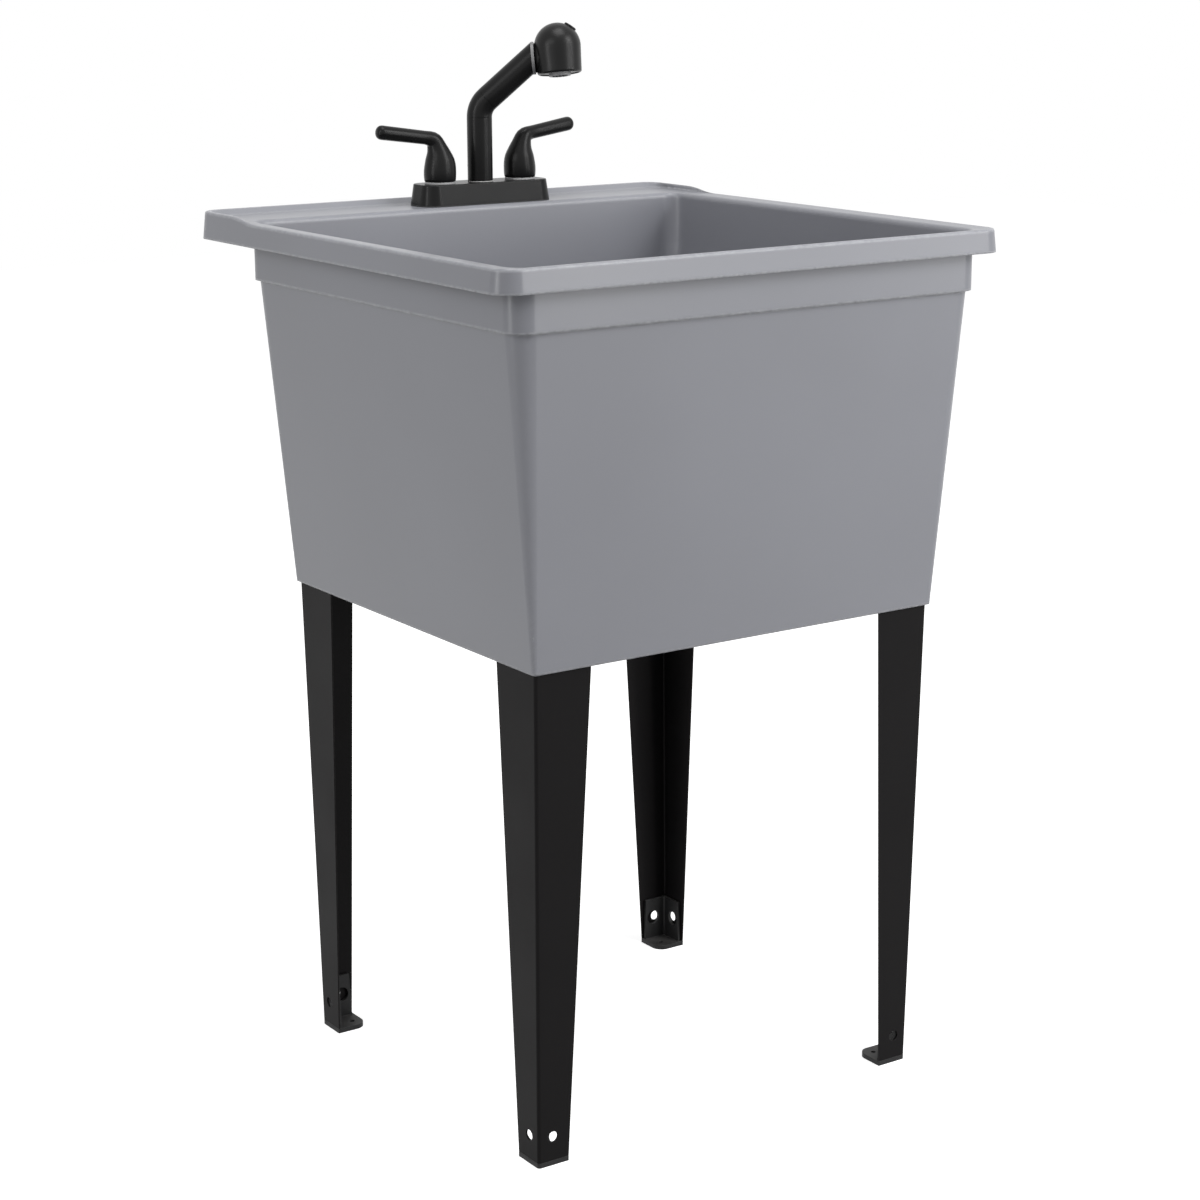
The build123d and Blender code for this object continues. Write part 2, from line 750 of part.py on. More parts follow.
valve_top = base_top + valve_neck_height
with BuildPart() as waterway:
    # Brass bar between two valve bodies, with a hollow shank for the hose in the middle.
    with BuildSketch(Plane.XY.offset(pad_bottom + way_floor)):
        with Locations(faucet_axis):
            Rectangle(faucet_spread, way_width)
    extrude(amount=way_height)
    with BuildSketch(Plane.XY.offset(pad_bottom)):
        with Locations(faucet_axis):
            with GridLocations(faucet_spread, 0, 2, 1):
                Circle(valve_body_radius)
            Circle(hose_shank_radius)
    extrude(amount=base_height - base_wall)
    with BuildSketch(Plane.XY.offset(base_top - base_wall)):
        with Locations(faucet_axis):
            with GridLocations(faucet_spread, 0, 2, 1):
                Circle(valve_neck_radius)
    extrude(amount=base_wall + valve_neck_height)
    # Shanks that clamp the deck, stepped down to the ends for the supply lines.
    with BuildSketch(Plane.XY.offset(pad_bottom - shank_length + supply_length)):
        with Locations(faucet_axis):
            with GridLocations(faucet_spread, 0, 2, 1):
                Circle(shank_radius)
    extrude(amount=shank_length - supply_length)
    with BuildSketch(Plane.XY.offset(pad_bottom - shank_length)):
        with Locations(faucet_axis):
            with GridLocations(faucet_spread, 0, 2, 1):
                Circle(supply_radius)
    extrude(amount=supply_length)
    with BuildSketch(Plane.XY.offset(pad_bottom - hose_shank_length)):
        with Locations(faucet_axis):
            Circle(hose_shank_radius)
    extrude(amount=hose_shank_length)
    # Grooved nipple that the spout turns on.
    with BuildSketch(Plane.XY.offset(base_top - base_wall)):
        with Locations(faucet_axis):
            Circle(nipple_radius)
    extrude(amount=base_wall + nipple_height)
    for height in seal_heights:
        with BuildSketch(Plane.XY.offset(base_top + height - seal_wire)):
            with Locations(faucet_axis):
                Circle(nipple_radius + nipple_wall)
                Circle(nipple_radius - seal_groove, mode=Mode.SUBTRACT)
        extrude(amount=2 * seal_wire, mode=Mode.SUBTRACT)
    with BuildSketch(Plane.XY.offset(base_top + keeper_height - keeper_radius - axial_gap)):
        with Locations(faucet_axis):
            Circle(nipple_radius + nipple_wall)
            Circle(nipple_radius - keeper_groove, mode=Mode.SUBTRACT)
    extrude(amount=2 * keeper_radius + 2 * axial_gap, mode=Mode.SUBTRACT)
    # Bores of the shanks, the valves and the passage between them.
    with BuildSketch(Plane.XY.offset(pad_bottom - shank_length)):
        with Locations(faucet_axis):
            with GridLocations(faucet_spread, 0, 2, 1):
                Circle(shank_bore_radius)
            Circle(nipple_bore)
    extrude(amount=shank_length + base_height + nipple_height, mode=Mode.SUBTRACT)
    passage_level = pad_bottom + way_floor + way_height / 2
    passage_length = faucet_spread / 2 - nipple_radius
    for side in (-1, 1):
        with Locations((faucet_x + side * (faucet_spread - passage_length) / 2, faucet_y, passage_level)):
            Cylinder(way_passage_radius, passage_length, rotation=(0, 90, 0), mode=Mode.SUBTRACT)
waterway.part.label = "waterway"
export_step(waterway.part, "parts/waterway.step")

for name, side, radius in (
    ("hot", -1, shank_radius),
    ("cold", 1, shank_radius),
    ("spout", 0, hose_shank_radius),
):
    with BuildPart() as shank_nut:
        # Plastic nut with four lugs, drawn up against the underside of the deck.
        nut_axis = (faucet_x + side * faucet_spread / 2, faucet_y)
        with BuildSketch(Plane.XY.offset(rim_underside - shank_nut_height)):
            with Locations(nut_axis):
                Circle(shank_nut_radius)
                with PolarLocations(shank_nut_radius, 4):
                    RectangleRounded(2 * shank_nut_lug, 2 * shank_nut_lug, shank_nut_lug / 2)
                Circle(radius + thread_gap, mode=Mode.SUBTRACT)
        extrude(amount=shank_nut_height)
        with BuildSketch(Plane.XY.offset(rim_underside - shank_nut_hub)):
            with Locations(nut_axis):
                Circle(radius + shank_nut_wall)
                Circle(radius + thread_gap, mode=Mode.SUBTRACT)
        extrude(amount=shank_nut_hub - shank_nut_height)
    shank_nut.part.label = f"{name}_shank_nut"
    export_step(shank_nut.part, f"parts/{name}_shank_nut.step")

# ---- Swivelling spout ----
swing = radians(spout_swing)
incline = radians(spout_angle)
mitre = radians(spout_mitre)
bend_level = base_top + spout_rise
spout_bottom = base_top + bush_flange + axial_gap
spout_bore = spout_radius - spout_wall
sideways = Vector(-cos(swing), -sin(swing), 0)
keeper_level = base_top + keeper_height


def along(angle):
    """Direction in the spout's own upright plane, at an angle above the horizontal."""
    return Vector(cos(angle) * sin(swing), -cos(angle) * cos(swing), sin(angle))


bend_point = Vector(faucet_x, faucet_y, bend_level)
dock_point = bend_point + along(incline) * (spout_reach / cos(incline))
incline_plane = Plane(dock_point, x_dir=sideways, z_dir=along(incline))
end_plane = Plane(dock_point, x_dir=sideways, z_dir=along(mitre))
spout_plane = Plane((faucet_x, faucet_y, 0), x_dir=along(0), z_dir=sideways)

with BuildPart() as spout:
    # Bent tube, cut off on a slant where the spray head docks.
    with BuildLine(spout_plane) as spout_path:
        FilletPolyline(
            (0, spout_bottom),
            (0, bend_level),
            (2 * spout_reach, bend_level + 2 * spout_reach * tan(incline)),
            radius=spout_bend,
        )
    with BuildSketch(Plane.XY.offset(spout_bottom)):
        with Locations(faucet_axis):
            Circle(spout_radius)
            Circle(spout_bore, mode=Mode.SUBTRACT)
    sweep(path=spout_path.line)
    with BuildSketch(end_plane):
        Circle(6 * spout_radius)
    extrude(amount=6 * spout_radius, mode=Mode.SUBTRACT)
    # Hole for the keeper screw, low on the side away from the outlet.
    with BuildSketch(Plane(bend_point, x_dir=sideways, z_dir=-along(0))):
        with Locations((0, keeper_level - bend_level)):
            Circle(keeper_radius + thread_gap)
    extrude(amount=2 * spout_radius, mode=Mode.SUBTRACT)
spout.part.label = "spout"
export_step(spout.part, "parts/spout.step")

with BuildPart() as spout_keeper:
    # Short screw whose point rides in the nipple's groove.
    keeper_tip = nipple_radius - keeper_groove + axial_gap
    with BuildSketch(Plane(bend_point, x_dir=sideways, z_dir=-along(0)).offset(keeper_tip)):
        with Locations((0, keeper_level - bend_level)):
            Circle(keeper_radius)
    extrude(amount=spout_radius - keeper_tip)
spout_keeper.part.label = "spout_keeper"
export_step(spout_keeper.part, "parts/spout_keeper.step")

with BuildPart() as spout_bush:
    # Flanged nylon bearing between the nipple and the spout.
    with BuildSketch(Plane.XY.offset(base_top)):
        with Locations(faucet_axis):
            Circle(spout_radius - swivel_gap)
            Circle(nipple_radius + thread_gap, mode=Mode.SUBTRACT)
    extrude(amount=bush_flange)
    with BuildSketch(Plane.XY.offset(base_top)):
        with Locations(faucet_axis):
            Circle(spout_bore - swivel_gap)
            Circle(nipple_radius + thread_gap, mode=Mode.SUBTRACT)
    extrude(amount=bush_height)
spout_bush.part.label = "spout_bush"
export_step(spout_bush.part, "parts/spout_bush.step")

with BuildPart() as spout_seals:
    # Two rubber rings in the nipple's grooves.
    for height in seal_heights:
        with Locations((faucet_x, faucet_y, base_top + height)):
            Torus(spout_bore - swivel_gap - seal_wire, seal_wire)
    with BuildSketch(Plane.XY.offset(base_top)):
        with Locations(faucet_axis):
            Circle(nipple_radius - seal_groove + thread_gap)
    extrude(amount=nipple_height, mode=Mode.SUBTRACT)
spout_seals.part.label = "spout_seals"
export_step(spout_seals.part, "parts/spout_seals.step")

ring_radius = spout_radius + guide_overhang
with BuildPart() as spout_guide:
    # Sleeve in the end of the tube, with the light ring that the spray head docks on.
    with BuildSketch(incline_plane.offset(-guide_length)):
        Circle(spout_bore - thread_gap)
    extrude(amount=2 * guide_length)
    with BuildSketch(end_plane.offset(guide_flange)):
        Circle(3 * spout_radius)
    extrude(amount=3 * spout_radius, mode=Mode.SUBTRACT)
    with BuildSketch(end_plane):
        Ellipse(ring_radius, ring_radius / cos(incline - mitre))
    extrude(amount=guide_flange)
    with BuildSketch(incline_plane.offset(-2 * guide_length)):
        Circle(guide_bore_radius)
    extrude(amount=4 * guide_length, mode=Mode.SUBTRACT)
spout_guide.part.label = "spout_guide"
export_step(spout_guide.part, "parts/spout_guide.step")

# ---- Pull-out spray head ----
# The head's back is square to the docking ring, and the head sits a little rolled in its dock.
roll = radians(bell_roll)
bell_up = along(radians(90) + mitre) * cos(roll) - sideways * sin(roll)
bell_side = sideways * cos(roll) + along(radians(90) + mitre) * sin(roll)
bell_forward = along(mitre)
mouth = dock_point + bell_forward * bell_offset - bell_up * bell_drop
bell_plane = Plane(mouth, x_dir=bell_side, z_dir=bell_up)
bell_section = Plane(mouth, x_dir=bell_forward, z_dir=bell_side)
dome_height = bell_height - bell_radius
lean = radians(button_forward)
button_direction = bell_up * cos(lean) + bell_forward * sin(lean)
button_plane = Plane(mouth + bell_up * dome_height, x_dir=bell_side, z_dir=button_direction)

with BuildPart() as spray_body:
    # Neck trimmed to the docking ring, and the nose that slides in the sleeve.
    with BuildSketch(end_plane.offset(guide_flange + dock_gap)):
        Ellipse(neck_radius, neck_radius / cos(incline - mitre))
    extrude(amount=neck_length)
    with BuildSketch(incline_plane.offset(-nose_length)):
        Circle(nose_radius)
    extrude(amount=nose_length + neck_length)
    # Hollow bell with a domed top.
    for inset, mode in ((0, Mode.ADD), (bell_wall, Mode.SUBTRACT)):
        with BuildSketch(bell_section):
            with BuildLine():
                Polyline((0, bell_height - inset), (0, 0), (bell_mouth_radius - inset, 0))
                Line((bell_mouth_radius - inset, 0), (bell_radius - inset, dome_height))
                CenterArc((0, dome_height), bell_radius - inset, 0, 90)
            make_face()
        revolve(axis=Axis(mouth, bell_up), mode=mode)
    # Water passage and socket for the hose connector.
    with BuildSketch(incline_plane.offset(-nose_length)):
        Circle(connector_bore_radius)
    extrude(amount=nose_length + 2 * neck_length, mode=Mode.SUBTRACT)
    with BuildSketch(incline_plane.offset(-nose_length)):
        Circle(connector_radius + thread_gap)
    extrude(amount=connector_length - connector_proud, mode=Mode.SUBTRACT)
    # Hole for the button, high on the front.
    with BuildSketch(button_plane):
        Circle(button_radius + button_gap)
    extrude(amount=2 * bell_radius, mode=Mode.SUBTRACT)
spray_body.part.label = "spray_body"
export_step(spray_body.part, "parts/spray_body.step")

with BuildPart() as spray_face:
    # Disc across the mouth with a raised middle and rings of nozzles.
    with BuildSketch(bell_plane.offset(face_recess)):
        Circle(bell_mouth_radius - bell_wall - thread_gap)
    extrude(amount=face_thickness)
    with BuildSketch(bell_plane.offset(-face_proud)):
        Circle(face_boss_radius)
    extrude(amount=face_proud + face_recess)
    chamfer(spray_face.edges().group_by(Axis(mouth, bell_up))[0], face_proud / 4)
    with BuildSketch(bell_plane.offset(-face_proud)):
        for ring_radius, holes in zip(nozzle_ring_radii, nozzle_counts):
            with PolarLocations(ring_radius, holes):
                Circle(nozzle_radius)
    extrude(amount=face_proud + face_recess + face_thickness, mode=Mode.SUBTRACT)
spray_face.part.label = "spray_face"
export_step(spray_face.part, "parts/spray_face.step")

with BuildPart() as spray_connector:
    # Hollow threaded end that takes the hose.
    with BuildSketch(incline_plane.offset(-nose_length - connector_proud)):
        Circle(connector_radius)
        Circle(connector_bore_radius, mode=Mode.SUBTRACT)
    extrude(amount=connector_length)
spray_connector.part.label = "spray_connector"
export_step(spray_connector.part, "parts/spray_connector.step")

with BuildPart() as spray_button:
    # Round button with a flange that holds it inside the bell.
    inner_dome = bell_radius - bell_wall
    flange_reach = (inner_dome**2 - button_flange_radius**2) ** 0.5 - axial_gap
    with BuildSketch(button_plane.offset(flange_reach - button_flange)):
        Circle(button_flange_radius)
    extrude(amount=button_flange)
    with BuildSketch(button_plane.offset(flange_reach)):
        Circle(button_radius)
    extrude(amount=bell_radius + button_proud - flange_reach)
    fillet(spray_button.faces().sort_by(Axis(mouth, button_direction))[-1].edges(), button_proud)
spray_button.part.label = "spray_button"
export_step(spray_button.part, "parts/spray_button.step")

# ---- Handles and valves ----
for name, side in valve_axes:
    handle_x = faucet_x + side * faucet_spread / 2
    valve_axis = (handle_x, faucet_y)
    back = radians(lever_back)
    outwards = Vector(side * cos(back), sin(back), 0)
    handle_base = Vector(handle_x, faucet_y, base_top)
    handle_section = Plane(handle_base, x_dir=outwards, z_dir=outwards.cross(Vector(0, 0, 1)))

    with BuildPart() as seat_ring:
        with BuildSketch(Plane.XY.offset(base_top)):
            with Locations(valve_axis):
                Circle(seat_ring_radius)
                Circle(seat_ring_radius - seat_ring_wall, mode=Mode.SUBTRACT)
        extrude(amount=seat_ring_height)
    seat_ring.part.label = f"{name}_seat_ring"
    export_step(seat_ring.part, f"parts/{name}_seat_ring.step")

    with BuildPart() as bonnet_nut:
        # Hexagonal nut that clamps the cover and the cartridge.
        with BuildSketch(Plane.XY.offset(base_top)):
            with Locations(valve_axis):
                RegularPolygon(bonnet_radius, 6)
                Circle(valve_neck_radius + thread_gap, mode=Mode.SUBTRACT)
        extrude(amount=bonnet_height - bonnet_lip)
        with BuildSketch(Plane.XY.offset(base_top + bonnet_height - bonnet_lip)):
            with Locations(valve_axis):
                RegularPolygon(bonnet_radius, 6)
                Circle(bonnet_hole_radius, mode=Mode.SUBTRACT)
        extrude(amount=bonnet_lip)
    bonnet_nut.part.label = f"{name}_bonnet_nut"
    export_step(bonnet_nut.part, f"parts/{name}_bonnet_nut.step")

    with BuildPart() as cartridge:
        # Sleeve of the valve, flanged under the bonnet nut.
        with BuildSketch(Plane.XY.offset(base_top - cartridge_depth)):
            with Locations(valve_axis):
                Circle(shank_bore_radius - thread_gap)
        extrude(amount=cartridge_depth + valve_neck_height)
        with BuildSketch(Plane.XY.offset(valve_top)):
            with Locations(valve_axis):
                Circle(valve_neck_radius)
        extrude(amount=bonnet_height - bonnet_lip - valve_neck_height)
        with BuildSketch(Plane.XY.offset(base_top - cartridge_depth)):
            with Locations(valve_axis):
                Circle(stem_radius + stem_gap)
        extrude(amount=2 * cartridge_depth, mode=Mode.SUBTRACT)
    cartridge.part.label = f"{name}_cartridge"
    export_step(cartridge.part, f"parts/{name}_cartridge.step")

    with BuildPart() as stem:
        # Stem that turns with the handle, tapped at its top.
        with BuildSketch(Plane.XY.offset(base_top - stem_depth)):
            with Locations(valve_axis):
                Circle(stem_radius)
        extrude(amount=stem_depth + stem_top)
        with BuildSketch(Plane.XY.offset(base_top + handle_screw_seat - handle_screw_length)):
            with Locations(valve_axis):
                Circle(handle_screw_radius + thread_gap)
        extrude(amount=handle_screw_length, mode=Mode.SUBTRACT)
    stem.part.label = f"{name}_stem"
    export_step(stem.part, f"parts/{name}_stem.step")

    with BuildPart() as handle:
        # Bulb over the bonnet nut, leaning out to a rounded elbow.
        with BuildSketch(Plane.XY.offset(base_top + handle_lift)):
            with Locations(valve_axis):
                Circle(handle_foot_radius)
        for height, radius, reach in bulb_stations:
            centre = handle_base + outwards * reach + Vector(0, 0, height)
            with BuildSketch(Plane(centre, x_dir=outwards, z_dir=(0, 0, 1))):
                Circle(radius)
        loft()
        with Locations(centre):
            Sphere(radius)
        # Lever, thicker towards a rounded tip.
        slope = radians(lever_slope)
        rising = outwards * cos(slope) + Vector(0, 0, sin(slope))
        root = handle_base + outwards * reach + Vector(0, 0, lever_root_height)
        with BuildSketch(Plane(root, x_dir=handle_section.z_dir, z_dir=rising)):
            Circle(lever_root_radius)
        lever_end = Plane(root + rising * lever_length, x_dir=handle_section.z_dir, z_dir=rising)
        with BuildSketch(lever_end):
            Circle(lever_tip_radius)
        loft()
        with BuildSketch(lever_end):
            Circle(lever_tip_radius)
        extrude(amount=lever_tip_length)
        fillet(handle.faces().sort_by(Axis(handle_base, outwards))[-1].edges(), lever_tip_round)
        # Recess, socket for the stem, screw hole and bore for the cap.
        for radius, low, high in (
            (handle_recess_radius, 0, handle_recess_height),
            (stem_radius + thread_gap, 0, stem_top),
            (handle_screw_radius + cap_gap, 0, handle_screw_seat),
            (cap_radius + cap_gap, handle_screw_seat, 2 * cap_top),
        ):
            with BuildSketch(Plane.XY.offset(base_top + low)):
                with Locations(valve_axis):
                    Circle(radius)
            extrude(amount=high - low, mode=Mode.SUBTRACT)
    handle.part.label = f"{name}_handle"
    export_step(handle.part, f"parts/{name}_handle.step")

    with BuildPart() as handle_screw:
        with BuildSketch(Plane.XY.offset(base_top + handle_screw_seat)):
            with Locations(valve_axis):
                Circle(handle_screw_head_radius)
        extrude(amount=handle_screw_head)
        with BuildSketch(Plane.XY.offset(base_top + handle_screw_seat - handle_screw_length)):
            with Locations(valve_axis):
                Circle(handle_screw_radius)
        extrude(amount=handle_screw_length)
    handle_screw.part.label = f"{name}_handle_screw"
    export_step(handle_screw.part, f"parts/{name}_handle_screw.step")

    with BuildPart() as cap:
        # Round plug over the screw.
        with BuildSketch(Plane.XY.offset(base_top + cap_bottom)):
            with Locations(valve_axis):
                Circle(cap_radius)
        extrude(amount=cap_top - cap_bottom)
        fillet(cap.faces().sort_by(Axis.Z)[-1].edges(), cap_radius / 4)
    cap.part.label = f"{name}_cap"
    export_step(cap.part, f"parts/{name}_cap.step")
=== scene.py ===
import json
import math

import bmesh
import bpy
from mathutils import Matrix, Vector


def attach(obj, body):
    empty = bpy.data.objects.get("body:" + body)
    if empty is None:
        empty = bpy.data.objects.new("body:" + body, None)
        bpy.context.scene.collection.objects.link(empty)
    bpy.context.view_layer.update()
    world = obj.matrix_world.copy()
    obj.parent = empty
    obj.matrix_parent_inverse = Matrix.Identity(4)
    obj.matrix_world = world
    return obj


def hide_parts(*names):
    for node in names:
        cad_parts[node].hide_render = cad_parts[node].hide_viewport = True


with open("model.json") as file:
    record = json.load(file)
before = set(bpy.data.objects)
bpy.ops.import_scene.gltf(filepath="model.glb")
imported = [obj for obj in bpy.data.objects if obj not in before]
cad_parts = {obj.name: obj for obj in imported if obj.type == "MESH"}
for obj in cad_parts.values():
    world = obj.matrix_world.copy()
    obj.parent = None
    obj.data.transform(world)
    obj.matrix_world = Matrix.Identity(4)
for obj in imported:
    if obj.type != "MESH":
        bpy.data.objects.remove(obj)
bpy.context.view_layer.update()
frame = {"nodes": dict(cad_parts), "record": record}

nodes = frame["nodes"]
scene = bpy.context.scene
mm = 0.001
# Column and row spacing in the node editor
nodeGap = (190, -170)
print("frame: loaded", len(nodes), "solids")


# Small helpers for node trees

def addNode(tree, kind, at=(0, 0), **settings):
    made = tree.nodes.new(kind)
    made.location = (at[0] * nodeGap[0], at[1] * nodeGap[1])
    for name, value in settings.items():
        setattr(made, name, value)
    return made


def mathNode(tree, operation, at, a, b=None, clamp=False):
    made = addNode(tree, "ShaderNodeMath", at, operation=operation, use_clamp=clamp)
    for socket, value in ((made.inputs[0], a), (made.inputs[1], b)):
        if value is None:
            continue
        if isinstance(value, (int, float)):
            socket.default_value = value
        else:
            tree.links.new(value, socket)
    return made.outputs[0]


def mixColors(tree, at, factor, first, second):
    made = addNode(tree, "ShaderNodeMix", at, data_type="RGBA")
    tree.links.new(factor, made.inputs["Factor"])
    # Inputs 6 and 7 take the two colours, output 2 gives the mixed one.
    for socket, value in ((made.inputs[6], first), (made.inputs[7], second)):
        if isinstance(value, tuple):
            socket.default_value = (*value, 1)
        else:
            tree.links.new(value, socket)
    return made.outputs[2]


def spread(tree, at, value, low, high):
    made = addNode(tree, "ShaderNodeMapRange", at)
    tree.links.new(value, made.inputs["Value"])
    made.inputs["To Min"].default_value = low
    made.inputs["To Max"].default_value = high
    return made.outputs["Result"]


def shaderGroup(name, inputs, outputs):
    tree = bpy.data.node_groups.new(name, "ShaderNodeTree")
    for label, value in inputs.items():
        kind = "NodeSocketVector" if isinstance(value, tuple) else "NodeSocketFloat"
        socket = tree.interface.new_socket(label, in_out="INPUT", socket_type=kind)
        socket.default_value = value
    for label, kind in outputs.items():
        tree.interface.new_socket(label, in_out="OUTPUT", socket_type=kind)
    given = addNode(tree, "NodeGroupInput", (-6, 0))
    result = addNode(tree, "NodeGroupOutput", (6, 0))
    return tree, given, result


# Shared effects

def makeGrain():
    # Moulding grain over slow waves in the surface; Patch drifts from 0 to 1.
    tree, given, result = shaderGroup(
        "surfaceGrain",
        {"Grain Scale": 900.0, "Grain Depth": 0.3, "Wave Scale": 7.0, "Wave Depth": 0.5},
        {"Height": "NodeSocketFloat", "Patch": "NodeSocketFloat"},
    )
    place = addNode(tree, "ShaderNodeTexCoord", (-5, 1))
    fine = addNode(tree, "ShaderNodeTexNoise", (-3, -1))
    fine.inputs["Detail"].default_value = 3
    slow = addNode(tree, "ShaderNodeTexNoise", (-3, 2))
    slow.inputs["Detail"].default_value = 2
    slow.inputs["Roughness"].default_value = 0.4
    for texture, scale in ((fine, "Grain Scale"), (slow, "Wave Scale")):
        tree.links.new(place.outputs["Object"], texture.inputs["Vector"])
        tree.links.new(given.outputs[scale], texture.inputs["Scale"])
    grain = mathNode(tree, "MULTIPLY", (0, -1), fine.outputs[0], given.outputs["Grain Depth"])
    wave = mathNode(tree, "MULTIPLY", (0, 1), slow.outputs[0], given.outputs["Wave Depth"])
    height = mathNode(tree, "ADD", (2, 0), grain, wave)
    patch = spread(tree, (2, 2), slow.outputs[0], -0.3, 1.3)
    tree.links.new(height, result.inputs["Height"])
    tree.links.new(patch, result.inputs["Patch"])
    return tree


def makeEdgeWearAndHighlight():
    # Finds the outer edges, broken up by a noise, and gives a softened normal. The mask lightens
    # the edges: partly edge wear, partly a painted highlight.
    tree, given, result = shaderGroup(
        "edgeWearAndHighlight",
        {"Radius": 0.0012, "Breakup": 220.0, "Sharpness": 6.0},
        {"Mask": "NodeSocketFloat", "Normal": "NodeSocketVector"},
    )
    soft = addNode(tree, "ShaderNodeBevel", (-4, 0), samples=6)
    tree.links.new(given.outputs["Radius"], soft.inputs["Radius"])
    flat = addNode(tree, "ShaderNodeNewGeometry", (-4, 2))
    turn = addNode(tree, "ShaderNodeVectorMath", (-2, 1), operation="DOT_PRODUCT")
    tree.links.new(soft.outputs[0], turn.inputs[0])
    tree.links.new(flat.outputs["Normal"], turn.inputs[1])
    place = addNode(tree, "ShaderNodeTexCoord", (-4, 4))
    broken = addNode(tree, "ShaderNodeTexNoise", (-2, 3))
    tree.links.new(place.outputs["Object"], broken.inputs["Vector"])
    tree.links.new(given.outputs["Breakup"], broken.inputs["Scale"])
    bend = mathNode(tree, "SUBTRACT", (0, 1), 1.0, turn.outputs["Value"])
    bend = mathNode(tree, "MULTIPLY", (1, 1), bend, given.outputs["Sharpness"], clamp=True)
    patchy = spread(tree, (1, 3), broken.outputs[0], -0.2, 1.3)
    wornAndLitEdge = mathNode(tree, "MULTIPLY", (3, 1), bend, patchy, clamp=True)
    tree.links.new(wornAndLitEdge, result.inputs["Mask"])
    tree.links.new(soft.outputs[0], result.inputs["Normal"])
    return tree


def makeDust():
    # Thin dust that settles on faces looking up.
    tree, given, result = shaderGroup(
        "settledDust", {"Scale": 35.0, "Amount": 0.4}, {"Mask": "NodeSocketFloat"}
    )
    facing = addNode(tree, "ShaderNodeNewGeometry", (-4, 0))
    parts = addNode(tree, "ShaderNodeSeparateXYZ", (-3, 0))
    tree.links.new(facing.outputs["Normal"], parts.inputs[0])
    place = addNode(tree, "ShaderNodeTexCoord", (-4, 2))
    cloud = addNode(tree, "ShaderNodeTexNoise", (-3, 2))
    cloud.inputs["Detail"].default_value = 4
    tree.links.new(place.outputs["Object"], cloud.inputs["Vector"])
    tree.links.new(given.outputs["Scale"], cloud.inputs["Scale"])
    upward = mathNode(
        tree, "MULTIPLY", (0, 0), parts.outputs["Z"], given.outputs["Amount"], clamp=True
    )
    cloudy = spread(tree, (0, 2), cloud.outputs[0], -0.4, 1.6)
    lying = mathNode(tree, "MULTIPLY", (2, 1), upward, cloudy, clamp=True)
    tree.links.new(lying, result.inputs["Mask"])
    return tree


def makeSeam():
    # A fine groove where a plane cuts the surface.
    tree, given, result = shaderGroup(
        "partingSeam",
        {"Point": (0.0, 0.0, 0.0), "Direction": (0.0, 0.0, 1.0), "Width": 0.0008},
        {"Mask": "NodeSocketFloat"},
    )
    place = addNode(tree, "ShaderNodeTexCoord", (-5, 0))
    away = addNode(tree, "ShaderNodeVectorMath", (-3, 0), operation="SUBTRACT")
    tree.links.new(place.outputs["Object"], away.inputs[0])
    tree.links.new(given.outputs["Point"], away.inputs[1])
    along = addNode(tree, "ShaderNodeVectorMath", (-2, 0), operation="DOT_PRODUCT")
    tree.links.new(away.outputs[0], along.inputs[0])
    tree.links.new(given.outputs["Direction"], along.inputs[1])
    offset = mathNode(tree, "ABSOLUTE", (-1, 0), along.outputs["Value"])
    share = mathNode(tree, "DIVIDE", (1, 0), offset, given.outputs["Width"])
    groove = mathNode(tree, "SUBTRACT", (3, 0), 1.0, share, clamp=True)
    tree.links.new(groove, result.inputs["Mask"])
    return tree


def makeSpot():
    # Everything further from an axis than the radius.
    tree, given, result = shaderGroup(
        "outsideRadius",
        {
            "Point": (0.0, 0.0, 0.0), "Direction": (0.0, 0.0, 1.0), "Radius": 0.012,
            "Sharpness": 4000.0,
        },
        {"Mask": "NodeSocketFloat"},
    )
    place = addNode(tree, "ShaderNodeTexCoord", (-5, 0))
    away = addNode(tree, "ShaderNodeVectorMath", (-3, 0), operation="SUBTRACT")
    tree.links.new(place.outputs["Object"], away.inputs[0])
    tree.links.new(given.outputs["Point"], away.inputs[1])
    beside = addNode(tree, "ShaderNodeVectorMath", (-2, 0), operation="CROSS_PRODUCT")
    tree.links.new(away.outputs[0], beside.inputs[0])
    tree.links.new(given.outputs["Direction"], beside.inputs[1])
    reach = addNode(tree, "ShaderNodeVectorMath", (-1, 0), operation="LENGTH")
    tree.links.new(beside.outputs[0], reach.inputs[0])
    over = mathNode(tree, "SUBTRACT", (0, 0), reach.outputs["Value"], given.outputs["Radius"])
    outside = mathNode(tree, "MULTIPLY", (2, 0), over, given.outputs["Sharpness"], clamp=True)
    tree.links.new(outside, result.inputs["Mask"])
    return tree


grainGroup = makeGrain()
edgeWearAndHighlightGroup = makeEdgeWearAndHighlight()
dustGroup = makeDust()
seamGroup = makeSeam()
spotGroup = makeSpot()


def placeGroup(tree, group, at, **values):
    made = addNode(tree, "ShaderNodeGroup", at, node_tree=group)
    for name, value in values.items():
        made.inputs[name.replace("_", " ")].default_value = value
    return made
